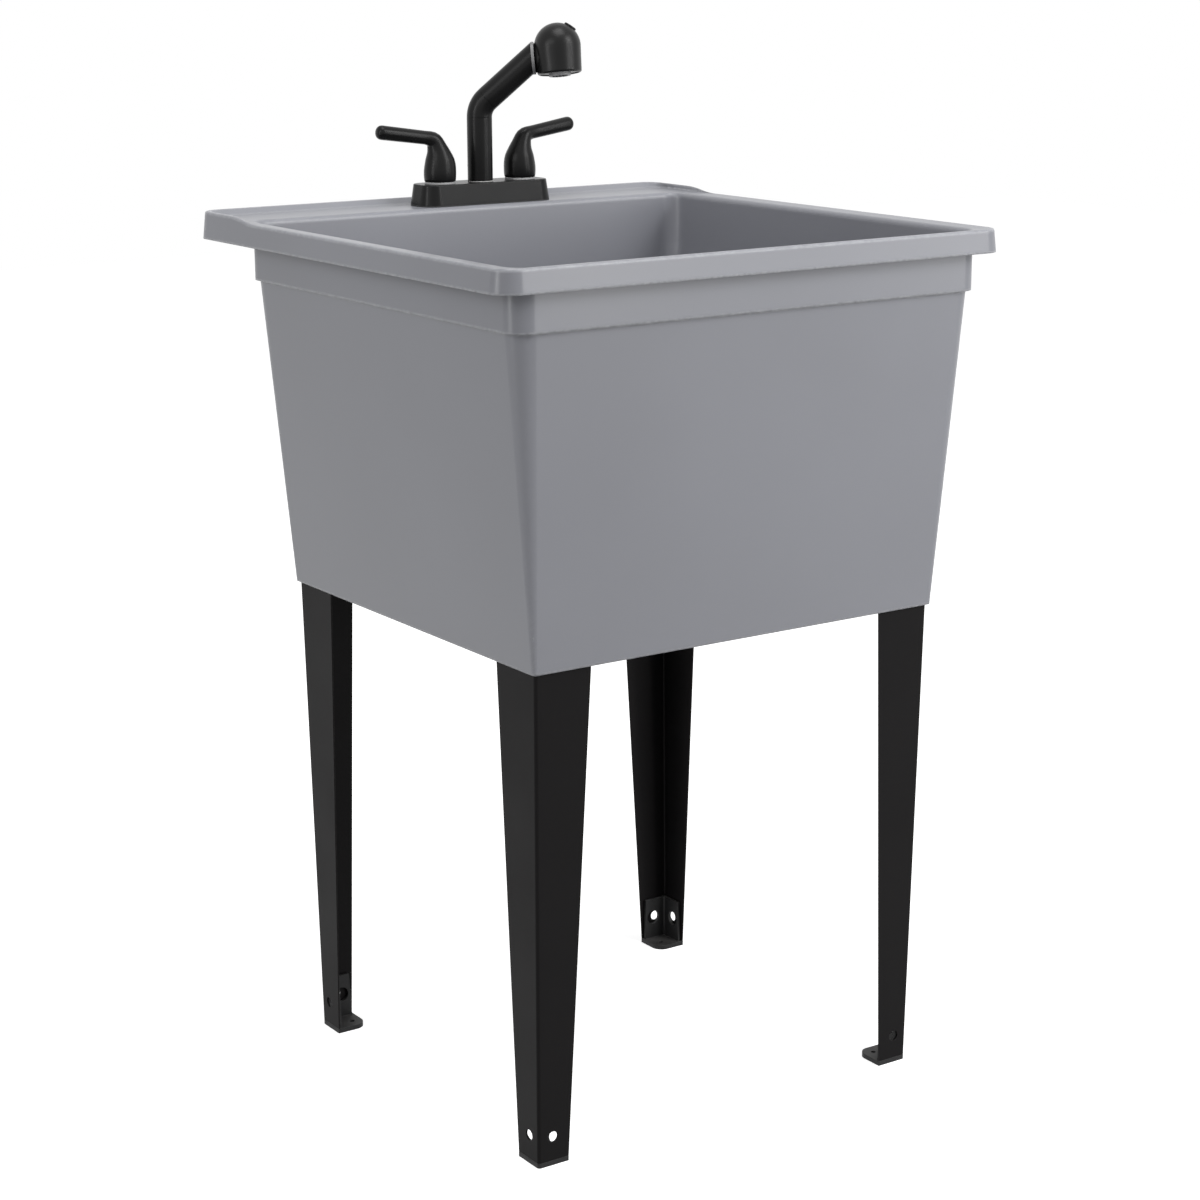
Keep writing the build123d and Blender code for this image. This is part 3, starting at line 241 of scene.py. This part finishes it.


# Finishes

# Colours are linear, rough runs over the slow patches, edgeRadius is in metres. The edge colour
# on crests and folds is partly wear and partly a painted highlight.
finishes = {
    "tub_plastic": {
        "dark": (0.213, 0.217, 0.241), "light": (0.237, 0.242, 0.269),
        # Pale edge colour: a painted highlight along the rim crests and the apron step, with a
        # little wear
        "edge": (0.56, 0.568, 0.6), "shine": 0.5, "rough": (0.3, 0.35), "bump": 0.3,
        "grain": 850.0, "grainDepth": 0.25, "wave": 5.0, "waveDepth": 1.2,
        "edgeRadius": 0.004, "edgeSharp": 20.0, "dust": 0.03,
    },
    "leg_steel": {
        "dark": (0.0058, 0.0052, 0.0055), "light": (0.0085, 0.0078, 0.0081),
        # Lighter edge colour: a painted highlight on the flange folds and edges, with a little
        # wear
        "edge": (0.055, 0.053, 0.053), "shine": 0.06, "rough": (0.38, 0.5), "bump": 0.25,
        "grain": 620.0, "grainDepth": 0.5, "wave": 12.0, "waveDepth": 0.5,
        "edgeRadius": 0.0008, "dust": 0.0,
    },
    "foot_plastic": {
        "dark": (0.007, 0.007, 0.0073), "light": (0.011, 0.011, 0.0114),
        "edge": (0.035, 0.035, 0.035), "shine": 0.25, "rough": (0.45, 0.6), "bump": 0.3,
        "grain": 900.0, "grainDepth": 0.6, "wave": 20.0, "waveDepth": 0.3,
        "edgeRadius": 0.0009, "dust": 0.15,
    },
    "faucet_black": {
        "dark": (0.008, 0.008, 0.0081), "light": (0.0115, 0.0115, 0.0116),
        "edge": (0.03, 0.03, 0.03), "shine": 0.13, "rough": (0.26, 0.31), "bump": 0.2,
        "grain": 1400.0, "grainDepth": 0.25, "wave": 25.0, "waveDepth": 0.25,
        "edgeRadius": 0.0009, "dust": 0.004,
    },
    "light_plastic": {
        "dark": (0.36, 0.36, 0.365), "light": (0.45, 0.45, 0.455),
        "edge": (0.6, 0.6, 0.6), "rough": (0.35, 0.5), "bump": 0.15,
        "grain": 1200.0, "grainDepth": 0.3, "wave": 30.0, "waveDepth": 0.3,
        "edgeRadius": 0.0005, "dust": 0.1,
    },
    "seal_rubber": {
        "dark": (0.014, 0.014, 0.0145), "light": (0.024, 0.024, 0.0245),
        "edge": (0.05, 0.05, 0.05), "rough": (0.62, 0.8), "bump": 0.35,
        "grain": 1100.0, "grainDepth": 0.8, "wave": 40.0, "waveDepth": 0.4,
        "edgeRadius": 0.0006, "dust": 0.3,
    },
    "drain_steel": {
        "dark": (0.33, 0.33, 0.327), "light": (0.43, 0.43, 0.426),
        "edge": (0.56, 0.56, 0.56), "rough": (0.22, 0.36), "bump": 0.12,
        "grain": 500.0, "grainDepth": 0.3, "wave": 40.0, "waveDepth": 0.3,
        "edgeRadius": 0.0006, "dust": 0.1, "metal": True,
    },
    "brass": {
        "dark": (0.36, 0.24, 0.1), "light": (0.6, 0.43, 0.19),
        "edge": (0.78, 0.62, 0.33), "rough": (0.25, 0.45), "bump": 0.2,
        "grain": 700.0, "grainDepth": 0.4, "wave": 45.0, "waveDepth": 0.5,
        "edgeRadius": 0.0006, "dust": 0.1, "metal": True,
    },
    "white_plastic": {
        "dark": (0.6, 0.6, 0.585), "light": (0.7, 0.7, 0.69),
        "edge": (0.8, 0.8, 0.79), "rough": (0.38, 0.55), "bump": 0.2,
        "grain": 1000.0, "grainDepth": 0.4, "wave": 30.0, "waveDepth": 0.3,
        "edgeRadius": 0.0006, "dust": 0.15,
    },
    "zinc_screw": {
        "dark": (0.38, 0.38, 0.4), "light": (0.56, 0.56, 0.57),
        "edge": (0.7, 0.7, 0.7), "rough": (0.25, 0.42), "bump": 0.2,
        "grain": 900.0, "grainDepth": 0.5, "wave": 90.0, "waveDepth": 0.4,
        "edgeRadius": 0.0003, "dust": 0.0, "metal": True,
    },
}
# What all finishes share: colours of dust, of a seam and outside a spot, and their depths
shared = {
    "dust": (0.42, 0.41, 0.40), "seam": (0.004, 0.004, 0.004), "outside": (0.012, 0.012, 0.012),
    "seamDepth": 2.5, "bumpDistance": 0.0002, "edgeSharp": 6.0, "shine": 0.5,
}


def makeFinish(name, look, seams=(), spot=None):
    made = bpy.data.materials.new(name)
    made.use_nodes = True
    tree = made.node_tree
    skin = tree.nodes["Principled BSDF"]
    skin.location = (9 * nodeGap[0], 0)
    grain = placeGroup(
        tree, grainGroup, (-2, 0), Grain_Scale=look["grain"], Grain_Depth=look["grainDepth"],
        Wave_Scale=look["wave"], Wave_Depth=look["waveDepth"],
    )
    edge = placeGroup(
        tree, edgeWearAndHighlightGroup, (-2, 2), Radius=look["edgeRadius"],
        Sharpness=look.get("edgeSharp", shared["edgeSharp"]),
    )
    color = mixColors(tree, (1, 0), grain.outputs["Patch"], look["dark"], look["light"])
    # Lighter colour on the edges: edge wear and a painted highlight along crests and folds
    color = mixColors(tree, (2, 1), edge.outputs["Mask"], color, look["edge"])
    if look["dust"]:
        dust = placeGroup(tree, dustGroup, (-2, 4), Amount=look["dust"])
        color = mixColors(tree, (3, 2), dust.outputs["Mask"], color, shared["dust"])
    height = grain.outputs["Height"]
    for row, (point, direction, width) in enumerate(seams):
        seam = placeGroup(
            tree, seamGroup, (1, 5 + 2 * row), Point=point, Direction=direction, Width=width
        )
        color = mixColors(tree, (4 + row, 3), seam.outputs["Mask"], color, shared["seam"])
        sunk = mathNode(tree, "MULTIPLY", (3 + row, 5), seam.outputs["Mask"], shared["seamDepth"])
        height = mathNode(tree, "SUBTRACT", (4 + row, 5), height, sunk)
    if spot:
        point, direction, radius = spot
        outside = placeGroup(
            tree, spotGroup, (1, 9), Point=point, Direction=direction, Radius=radius
        )
        color = mixColors(tree, (6, 2), outside.outputs["Mask"], color, shared["outside"])
    bump = addNode(tree, "ShaderNodeBump", (7, 3))
    bump.inputs["Strength"].default_value = look["bump"]
    bump.inputs["Distance"].default_value = shared["bumpDistance"]
    tree.links.new(height, bump.inputs["Height"])
    tree.links.new(edge.outputs["Normal"], bump.inputs["Normal"])
    tree.links.new(color, skin.inputs["Base Color"])
    rough = spread(tree, (3, 0), grain.outputs["Patch"], *look["rough"])
    tree.links.new(rough, skin.inputs["Roughness"])
    tree.links.new(bump.outputs[0], skin.inputs["Normal"])
    skin.inputs["Metallic"].default_value = 1.0 if look.get("metal") else 0.0
    skin.inputs["Specular IOR Level"].default_value = look.get("shine", shared["shine"])
    return made


materials = {name: makeFinish(name, look) for name, look in finishes.items()}

# Spout: two fine grooves bound its elbow; lengths in metres, turns in degrees
spoutBend = {
    "point": (0.0275, 0.251, 0.978), "swing": 55.0, "incline": 41.3, "reach": 0.0118,
    "width": 0.0007,
}
swing, incline = math.radians(spoutBend["swing"]), math.radians(spoutBend["incline"])


def awayFromSpout(angle):
    # Level direction of the swung spout, raised by an angle.
    return Vector((
        math.cos(angle) * math.sin(swing), -math.cos(angle) * math.cos(swing), math.sin(angle)
    ))


spoutRun = awayFromSpout(incline)
spoutCorner = Vector(spoutBend["point"])
belowBend = spoutCorner - Vector((0, 0, spoutBend["reach"]))
aboveBend = spoutCorner + spoutRun * spoutBend["reach"]
spoutSeams = (
    (tuple(belowBend), (0, 0, 1), spoutBend["width"]),
    (tuple(aboveBend), tuple(spoutRun), spoutBend["width"]),
)

# Spray head: where its mouth is, how the bell leans and how the mouth's edge is rolled
headShape = {
    "mouth": (0.09766, 0.19864, 1.01220), "mitre": 4.9, "roll": 8.0, "radius": 0.0238,
    "edge": 0.0023, "steps": 6, "middle": 0.0121, "weld": 1e-6, "near": 0.00004, "sharp": 30,
}
bellRoll = math.radians(headShape["roll"])
rising = awayFromSpout(math.radians(90 + headShape["mitre"]))
sideways = Vector((-math.cos(swing), -math.sin(swing), 0))
bellUp = rising * math.cos(bellRoll) - sideways * math.sin(bellRoll)
mouthAt = Vector(headShape["mouth"])

# Solids whose look differs a little from the rest of their slot
headLook = {
    "dark": (0.0035, 0.0035, 0.0036), "light": (0.005, 0.005, 0.0051),
    "shine": 0.22, "rough": (0.31, 0.35), "bump": 0.05,
}
guideLook = {"dark": (0.18, 0.18, 0.183), "light": (0.24, 0.24, 0.243)}
middleSpot = (tuple(mouthAt), tuple(bellUp), headShape["middle"])
blackLook, lightLook = finishes["faucet_black"], finishes["light_plastic"]
ownLooks = {
    "spout": makeFinish("faucet_black_spout", blackLook, spoutSeams),
    "spray_body": makeFinish("faucet_black_head", {**blackLook, **headLook}),
    "spray_face": makeFinish("light_plastic_face", lightLook, spot=middleSpot),
    "spout_guide": makeFinish("light_plastic_ring", {**lightLook, **guideLook}),
}
for part in frame["record"]["subparts"]:
    name = part["node"]
    if name in nodes:
        nodes[name].data.materials.clear()
        nodes[name].data.materials.append(ownLooks.get(name, materials[part["material_slot"]]))
print("finishes: made", len(materials))


# Pieces that take the place of plain solids

def addPiece(name, mesh, body, slotName, *replaced):
    piece = bpy.data.objects.new(name, mesh)
    scene.collection.objects.link(piece)
    mesh.materials.clear()
    mesh.materials.append(materials[slotName])
    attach(piece, body)
    if replaced:
        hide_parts(*replaced)
    return piece


def skinRings(name, rings, segments):
    # Each ring is a centre, two directions across it and its radius; both ends are closed.
    made = bmesh.new()
    loops = []
    for centre, across, beside, radius in rings:
        loop = []
        for step in range(segments):
            angle = 2 * math.pi * step / segments
            along = across * radius * math.cos(angle)
            loop.append(made.verts.new(centre + along + beside * radius * math.sin(angle)))
        loops.append(loop)
    for first, second in zip(loops, loops[1:]):
        for step in range(segments):
            after = (step + 1) % segments
            made.faces.new((first[step], first[after], second[after], second[step]))
    for loop in (loops[0], loops[-1]):
        middle = made.verts.new(sum((corner.co for corner in loop), Vector()) / segments)
        for step in range(segments):
            made.faces.new((loop[step], loop[(step + 1) % segments], middle))
    bmesh.ops.recalc_face_normals(made, faces=made.faces)
    mesh = bpy.data.meshes.new(name)
    made.to_mesh(mesh)
    made.free()
    mesh.polygons.foreach_set("use_smooth", [True] * len(mesh.polygons))
    return mesh


# Lever handles: one skin from the bulb round the elbow to the lever's tip
handleShape = {
    # Metres: the point between the two handles on the base cover, and each handle's distance
    "between": (0.0275, 0.251, 0.898), "apart": 0.0508,
    # Millimetres from here on. Hollow under the bulb: radius, height
    "hollow": [(4.32, 8.0), (13.6, 8.0), (14.4, 7.2), (14.4, 2.7), (14.7, 2.3)],
    # Bulb: reach outwards, height over the base cover, tilt in degrees, radius
    "bulb": [
        (0.0, 2.3, 0, 16.3), (0.0, 2.9, 0, 16.9), (0.0, 5.5, 0, 17.3), (0.0, 9.5, 0, 17.5),
        (-0.1, 14.0, 0, 17.45), (-0.3, 18.0, 0, 17.1), (-0.4, 22.0, 0, 16.5),
        (-0.2, 26.0, 1, 15.6), (0.3, 29.5, 3, 14.3), (1.0, 33.0, 6, 12.8), (1.9, 36.2, 9, 11.6),
        (3.0, 39.0, 13, 10.6), (4.1, 41.6, 19, 9.9), (5.2, 43.8, 30, 9.4), (6.8, 45.8, 45, 9.0),
        (9.2, 47.4, 62, 8.4), (12.4, 48.5, 74, 7.8),
    ],
    # Lever: reach and height of its root, slope in degrees, reach and radius at both ends
    "root": (6.0, 47.8), "slope": 8.0, "lever": (17.0, 66.5), "thickness": (7.2, 7.7),
    "leverRings": 9,
    # Tip: reach past the lever's end, share of its radius
    "tip": [(1.8, 0.985), (3.6, 0.92), (5.0, 0.80), (6.1, 0.62), (6.8, 0.38)],
    # Degrees that the lever points back, and corners in each ring
    "back": 5.5, "segments": 48,
}


def makeHandle(name, side, body):
    shape = handleShape
    x, y, z = shape["between"]
    foot = Vector((x + side * shape["apart"], y, z))
    back = math.radians(shape["back"])
    outwards = Vector((side * math.cos(back), math.sin(back), 0))
    beside = outwards.cross(Vector((0, 0, 1)))
    slope = math.tan(math.radians(shape["slope"]))
    rootReach, rootHeight = shape["root"]
    start, end = shape["lever"]
    thin, thick = shape["thickness"]
    stations = list(shape["bulb"])
    for step in range(shape["leverRings"]):
        reach = start + (end - start) * step / (shape["leverRings"] - 1)
        share = (reach - rootReach) / (end - rootReach)
        height = rootHeight + (reach - rootReach) * slope
        stations.append((reach, height, 90 - shape["slope"], thin + (thick - thin) * share))
    reach, height, tilt, radius = stations[-1]
    for further, share in shape["tip"]:
        stations.append((reach + further, height + further * slope, tilt, radius * share))
    rings = []
    for radius, level in shape["hollow"]:
        rings.append((foot + Vector((0, 0, level * mm)), outwards, beside, radius * mm))
    for reach, height, tilt, radius in stations:
        lean = math.radians(tilt)
        across = outwards * math.cos(lean) - Vector((0, 0, math.sin(lean)))
        centre = foot + outwards * reach * mm + Vector((0, 0, height * mm))
        rings.append((centre, across, beside, radius * mm))
    mesh = skinRings(name + "Skin", rings, shape["segments"])
    addPiece(name + "Skin", mesh, body, "faucet_black", name)


makeHandle("hot_handle", -1, "hot_control")
makeHandle("cold_handle", 1, "cold_control")
print("handles: two smooth levers")


# Spray head: the solid with the edge of its mouth rolled over
def makeHead():
    made = bmesh.new()
    made.from_mesh(nodes["spray_body"].data)
    bmesh.ops.remove_doubles(made, verts=made.verts, dist=headShape["weld"])
    radius, near = headShape["radius"], headShape["near"]
    rim = []
    for edge in made.edges:
        ends = [corner.co - mouthAt for corner in edge.verts]
        level = all(abs(end.dot(bellUp)) < near for end in ends)
        reaches = [(end - bellUp * end.dot(bellUp)).length for end in ends]
        outer = all(abs(reach - radius) < near for reach in reaches)
        if level and outer and (ends[0] - ends[1]).length < radius:
            rim.append(edge)
    bmesh.ops.bevel(
        made, geom=rim, offset=headShape["edge"], offset_type="OFFSET",
        segments=headShape["steps"], profile=0.5, affect="EDGES", clamp_overlap=True,
    )
    print("head: rolled", len(rim), "edges")
    mesh = bpy.data.meshes.new("spray_bodySkin")
    made.to_mesh(mesh)
    made.free()
    mesh.polygons.foreach_set("use_smooth", [True] * len(mesh.polygons))
    mesh.set_sharp_from_angle(angle=math.radians(headShape["sharp"]))
    piece = addPiece("spray_bodySkin", mesh, "spray_head", "faucet_black", "spray_body")
    piece.data.materials[0] = ownLooks["spray_body"]


makeHead()


# Repeating details grown by rules

def growTree(name, inputs):
    tree = bpy.data.node_groups.new(name, "GeometryNodeTree")
    tree.interface.new_socket("Geometry", in_out="INPUT", socket_type="NodeSocketGeometry")
    for label, value in inputs.items():
        kind = "NodeSocketInt" if isinstance(value, int) else "NodeSocketFloat"
        tree.interface.new_socket(label, in_out="INPUT", socket_type=kind).default_value = value
    tree.interface.new_socket("Material", in_out="INPUT", socket_type="NodeSocketMaterial")
    tree.interface.new_socket("Geometry", in_out="OUTPUT", socket_type="NodeSocketGeometry")
    return tree, addNode(tree, "NodeGroupInput", (-7, 0))


def closeTree(tree, given, geometry):
    # Same ending for every rule: real copies, shading and material.
    real = addNode(tree, "GeometryNodeRealizeInstances", (3, 0))
    smooth = addNode(tree, "GeometryNodeSetShadeSmooth", (4, 0))
    paint = addNode(tree, "GeometryNodeSetMaterial", (5, 0))
    result = addNode(tree, "NodeGroupOutput", (6, 0))
    tree.links.new(geometry, real.inputs[0])
    tree.links.new(real.outputs[0], smooth.inputs[0])
    tree.links.new(smooth.outputs[0], paint.inputs["Geometry"])
    tree.links.new(given.outputs["Material"], paint.inputs["Material"])
    tree.links.new(paint.outputs[0], result.inputs["Geometry"])
    return tree


def aroundRing(tree, given, copy):
    ring = addNode(tree, "GeometryNodeMeshCircle", (-4, 2))
    tree.links.new(given.outputs["Count"], ring.inputs["Vertices"])
    tree.links.new(given.outputs["Ring Radius"], ring.inputs["Radius"])
    spot = addNode(tree, "GeometryNodeInstanceOnPoints", (1, 1))
    tree.links.new(ring.outputs[0], spot.inputs["Points"])
    tree.links.new(copy, spot.inputs["Instance"])
    return spot.outputs[0]


def sweptTube(tree, path, at, profileRadius, sides):
    profile = addNode(tree, "GeometryNodeCurvePrimitiveCircle", (at[0] - 2, at[1] - 2))
    profile.inputs["Resolution"].default_value = sides
    tree.links.new(profileRadius, profile.inputs["Radius"])
    tube = addNode(tree, "GeometryNodeCurveToMesh", at)
    tube.inputs["Fill Caps"].default_value = True
    tree.links.new(path, tube.inputs["Curve"])
    tree.links.new(profile.outputs[0], tube.inputs["Profile Curve"])
    return tube.outputs[0]


def makeNozzleTree():
    # Ring of small rubber lips, each round its own hole.
    tree, given = growTree(
        "nozzleRing", {"Count": 12, "Ring Radius": 0.0072, "Lip Radius": 0.0011, "Lip": 0.0004}
    )
    lip = addNode(tree, "GeometryNodeCurvePrimitiveCircle", (-4, -1))
    lip.inputs["Resolution"].default_value = 24
    tree.links.new(given.outputs["Lip Radius"], lip.inputs["Radius"])
    tube = sweptTube(tree, lip.outputs[0], (-1, -1), given.outputs["Lip"], 10)
    return closeTree(tree, given, aroundRing(tree, given, tube))


def makeThreadTree():
    # Screw thread as one ridge wound up the shank.
    tree, given = growTree(
        "wornThread", {"Radius": 0.0104, "Height": 0.015, "Pitch": 0.0018, "Ridge": 0.0004}
    )
    wind = addNode(tree, "GeometryNodeCurveSpiral", (-3, 0))
    wind.inputs["Resolution"].default_value = 40
    turns = mathNode(tree, "DIVIDE", (-5, 2), given.outputs["Height"], given.outputs["Pitch"])
    tree.links.new(turns, wind.inputs["Rotations"])
    for end in ("Start Radius", "End Radius"):
        tree.links.new(given.outputs["Radius"], wind.inputs[end])
    tree.links.new(given.outputs["Height"], wind.inputs["Height"])
    ridge = sweptTube(tree, wind.outputs[0], (-1, 0), given.outputs["Ridge"], 6)
    return closeTree(tree, given, ridge)


def makeRibTree():
    # Upright ribs that give the fingers a grip on a hand nut.
    tree, given = growTree(
        "gripRibs", {"Count": 24, "Ring Radius": 0.03, "Height": 0.012, "Rib": 0.0008}
    )
    rise = addNode(tree, "ShaderNodeCombineXYZ", (-5, -1))
    tree.links.new(given.outputs["Height"], rise.inputs["Z"])
    line = addNode(tree, "GeometryNodeCurvePrimitiveLine", (-4, -1))
    tree.links.new(rise.outputs[0], line.inputs["End"])
    rib = sweptTube(tree, line.outputs[0], (-1, -1), given.outputs["Rib"], 8)
    return closeTree(tree, given, aroundRing(tree, given, rib))


def grow(name, tree, values, place, body, slotName):
    # Runs a rule with its own values on an empty seed and keeps the mesh.
    seed = bpy.data.objects.new(name + "Seed", bpy.data.meshes.new(name + "Seed"))
    scene.collection.objects.link(seed)
    rule = seed.modifiers.new("rule", "NODES")
    rule.node_group = tree
    for item in tree.interface.items_tree:
        if item.item_type == "SOCKET" and item.in_out == "INPUT":
            if item.name in values:
                rule[item.identifier] = values[item.name]
            elif item.name == "Material":
                rule[item.identifier] = materials[slotName]
    bpy.context.view_layer.update()
    grown = seed.evaluated_get(bpy.context.evaluated_depsgraph_get())
    mesh = bpy.data.meshes.new_from_object(grown)
    seed.modifiers.remove(rule)
    bpy.data.objects.remove(seed)
    mesh.transform(place)
    mesh.name = name
    return addPiece(name, mesh, body, slotName)


nozzleTree, threadTree, ribTree = makeNozzleTree(), makeThreadTree(), makeRibTree()

# Spray face: two rings of nozzles, count and radius each, standing proud of the mouth
sprayFace = {
    "proud": 0.0025, "rings": ((6, 0.0034), (12, 0.0072)), "lipRadius": 0.0011, "lip": 0.00035,
}
bellAcross = bellUp.cross(sideways).normalized()
bellBeside = bellUp.cross(bellAcross)
faceAt = mouthAt - bellUp * sprayFace["proud"]
faceTurn = Matrix((bellAcross, bellBeside, bellUp)).transposed()
facePlace = Matrix.Translation(faceAt) @ faceTurn.to_4x4()
for number, (count, ring) in enumerate(sprayFace["rings"], 1):
    values = {
        "Count": count, "Ring Radius": ring,
        "Lip Radius": sprayFace["lipRadius"], "Lip": sprayFace["lip"],
    }
    grow("nozzles%d" % number, nozzleTree, values, facePlace, "spray_head", "seal_rubber")

# Threads of the two supply shanks, from just above their lower ends
threads = {
    "between": (0.0275, 0.251), "apart": 0.0508, "start": 0.8375,
    "rule": {"Radius": 0.0104, "Height": 0.0150, "Pitch": 0.0018, "Ridge": 0.0004},
}
for name, side in (("hotThread", -1), ("coldThread", 1)):
    x, y = threads["between"]
    place = Matrix.Translation((x + side * threads["apart"], y, threads["start"]))
    grow(name, threadTree, threads["rule"], place, "stand", "brass")

# Grip of the tailpiece's slip nut: ribs on its outside, a little shorter than the nut
grip = {"drain": (0.0, -0.030), "ribs": 30, "rib": 0.0008, "inset": 0.002}
nutPoints = [corner.co for corner in nodes["tailpiece_nut"].data.vertices]
nutLow, nutHigh = min(p.z for p in nutPoints), max(p.z for p in nutPoints)
drainX, drainY = grip["drain"]
values = {
    "Count": grip["ribs"], "Rib": grip["rib"],
    "Ring Radius": max(math.hypot(p.x - drainX, p.y - drainY) for p in nutPoints),
    "Height": nutHigh - nutLow - 2 * grip["inset"],
}
place = Matrix.Translation((drainX, drainY, nutLow + grip["inset"]))
grow("tailpiece_nutGrip", ribTree, values, place, "stand", "white_plastic")
print("details: nozzles, threads and grips")


# Stage, light and camera

# Floor and world are bright where they are seen, and dim where they only light the part
stage = {
    "floor": 14.0, "paper": 0.8, "glow": 0.74, "bounce": 0.07, "world": 0.35, "backdrop": 1.0,
}


def seenDirectly(tree):
    rays = addNode(tree, "ShaderNodeLightPath", (-1, 2))
    seen = mathNode(
        tree, "ADD", (1, 3), rays.outputs["Is Camera Ray"], rays.outputs["Is Glossy Ray"]
    )
    return mathNode(tree, "ADD", (2, 3), seen, rays.outputs["Is Transmission Ray"], clamp=True)


def chooseShader(tree, lighting, shown, out):
    choose = addNode(tree, "ShaderNodeMixShader", (4, 0))
    tree.links.new(seenDirectly(tree), choose.inputs[0])
    tree.links.new(lighting.outputs[0], choose.inputs[1])
    tree.links.new(shown.outputs[0], choose.inputs[2])
    tree.links.new(choose.outputs[0], out.inputs[0])


def plainNode(tree, kind, at, grey, strength=None):
    made = addNode(tree, kind, at)
    made.inputs["Color"].default_value = (grey, grey, grey, 1)
    if strength is not None:
        made.inputs["Strength"].default_value = strength
    return made


floorMesh = bpy.data.meshes.new("studioFloor")
half = stage["floor"] / 2
corners = [(-half, -half, 0), (half, -half, 0), (half, half, 0), (-half, half, 0)]
floorMesh.from_pydata(corners, [], [(0, 1, 2, 3)])
studioFloor = bpy.data.objects.new("studioFloor", floorMesh)
scene.collection.objects.link(studioFloor)

paper = bpy.data.materials.new("studioPaper")
paper.use_nodes = True
tree = paper.node_tree
tree.nodes.clear()
out = addNode(tree, "ShaderNodeOutputMaterial", (5, 0))
matte = plainNode(tree, "ShaderNodeBsdfDiffuse", (1, 0), stage["paper"])
bounce = plainNode(tree, "ShaderNodeBsdfDiffuse", (1, 2), stage["bounce"])
glow = plainNode(tree, "ShaderNodeEmission", (1, 1), 1, stage["glow"])
both = addNode(tree, "ShaderNodeAddShader", (2, 1))
tree.links.new(matte.outputs[0], both.inputs[0])
tree.links.new(glow.outputs[0], both.inputs[1])
chooseShader(tree, bounce, both, out)
floorMesh.materials.append(paper)

world = bpy.data.worlds.new("studio")
scene.world = world
world.use_nodes = True
tree = world.node_tree
tree.nodes.clear()
out = addNode(tree, "ShaderNodeOutputWorld", (5, 0))
dim = plainNode(tree, "ShaderNodeBackground", (1, 0), 1, stage["world"])
white = plainNode(tree, "ShaderNodeBackground", (1, 1), 1, stage["backdrop"])
chooseShader(tree, dim, white, out)


def softbox(name, at, target, size, power):
    lamp = bpy.data.lights.new(name, "AREA")
    lamp.shape = "RECTANGLE"
    lamp.size, lamp.size_y = size
    lamp.energy = power
    holder = bpy.data.objects.new(name, lamp)
    holder.location = at
    aim = Vector(target) - Vector(at)
    holder.rotation_euler = aim.to_track_quat("-Z", "Y").to_euler()
    scene.collection.objects.link(holder)


# Lamps: place, target, size in metres and power in watts
boxSize, stripSize, stripPower, faucetTop = (1.6, 1.6), (0.22, 1.6), 13, (0.1, 0.2, 1.0)
lamps = {
    "keyBox": ((1.9, -2.8, 3.1), (0, 0, 0.7), boxSize, 66),
    "fillBox": ((-3.2, -1.2, 2.6), (0, 0, 0.6), boxSize, 20),
    "topBox": ((0.0, -0.4, 3.6), (0, 0, 0.8), boxSize, 42),
    "stripLeft": ((-2.3, 0.0, 1.2), faucetTop, stripSize, stripPower),
    "stripMiddle": ((0.95, -2.1, 1.2), faucetTop, stripSize, stripPower),
    "stripRight": ((1.8, -1.9, 1.2), faucetTop, stripSize, stripPower),
}
for name, (at, target, size, power) in lamps.items():
    softbox(name, at, target, size, power)

# Camera: place in metres, turns in degrees, lens and sensor in millimetres
shot = {
    "at": (-1.4955, -2.2310, 1.1476), "yaw": -34.05, "pitch": -13.90, "roll": -0.29,
    "lens": 79.53, "sensor": 36,
}
yaw, pitch, roll = (math.radians(shot[key]) for key in ("yaw", "pitch", "roll"))
level = math.cos(pitch)
ahead = Vector((-math.sin(yaw) * level, math.cos(yaw) * level, math.sin(pitch)))
right = ahead.cross(Vector((0, 0, 1))).normalized()
up = right.cross(ahead)
rolledRight = right * math.cos(roll) + up * math.sin(roll)
rolledUp = up * math.cos(roll) - right * math.sin(roll)
turn = Matrix((rolledRight, rolledUp, -ahead)).transposed()
lens = bpy.data.cameras.new("photoCamera")
lens.lens = shot["lens"]
lens.sensor_width = shot["sensor"]
photoCamera = bpy.data.objects.new("photoCamera", lens)
photoCamera.matrix_world = Matrix.Translation(shot["at"]) @ turn.to_4x4()
scene.collection.objects.link(photoCamera)
scene.camera = photoCamera
scene.view_settings.view_transform = "Standard"
print("stage: floor,", len(lamps), "lamps and the camera")
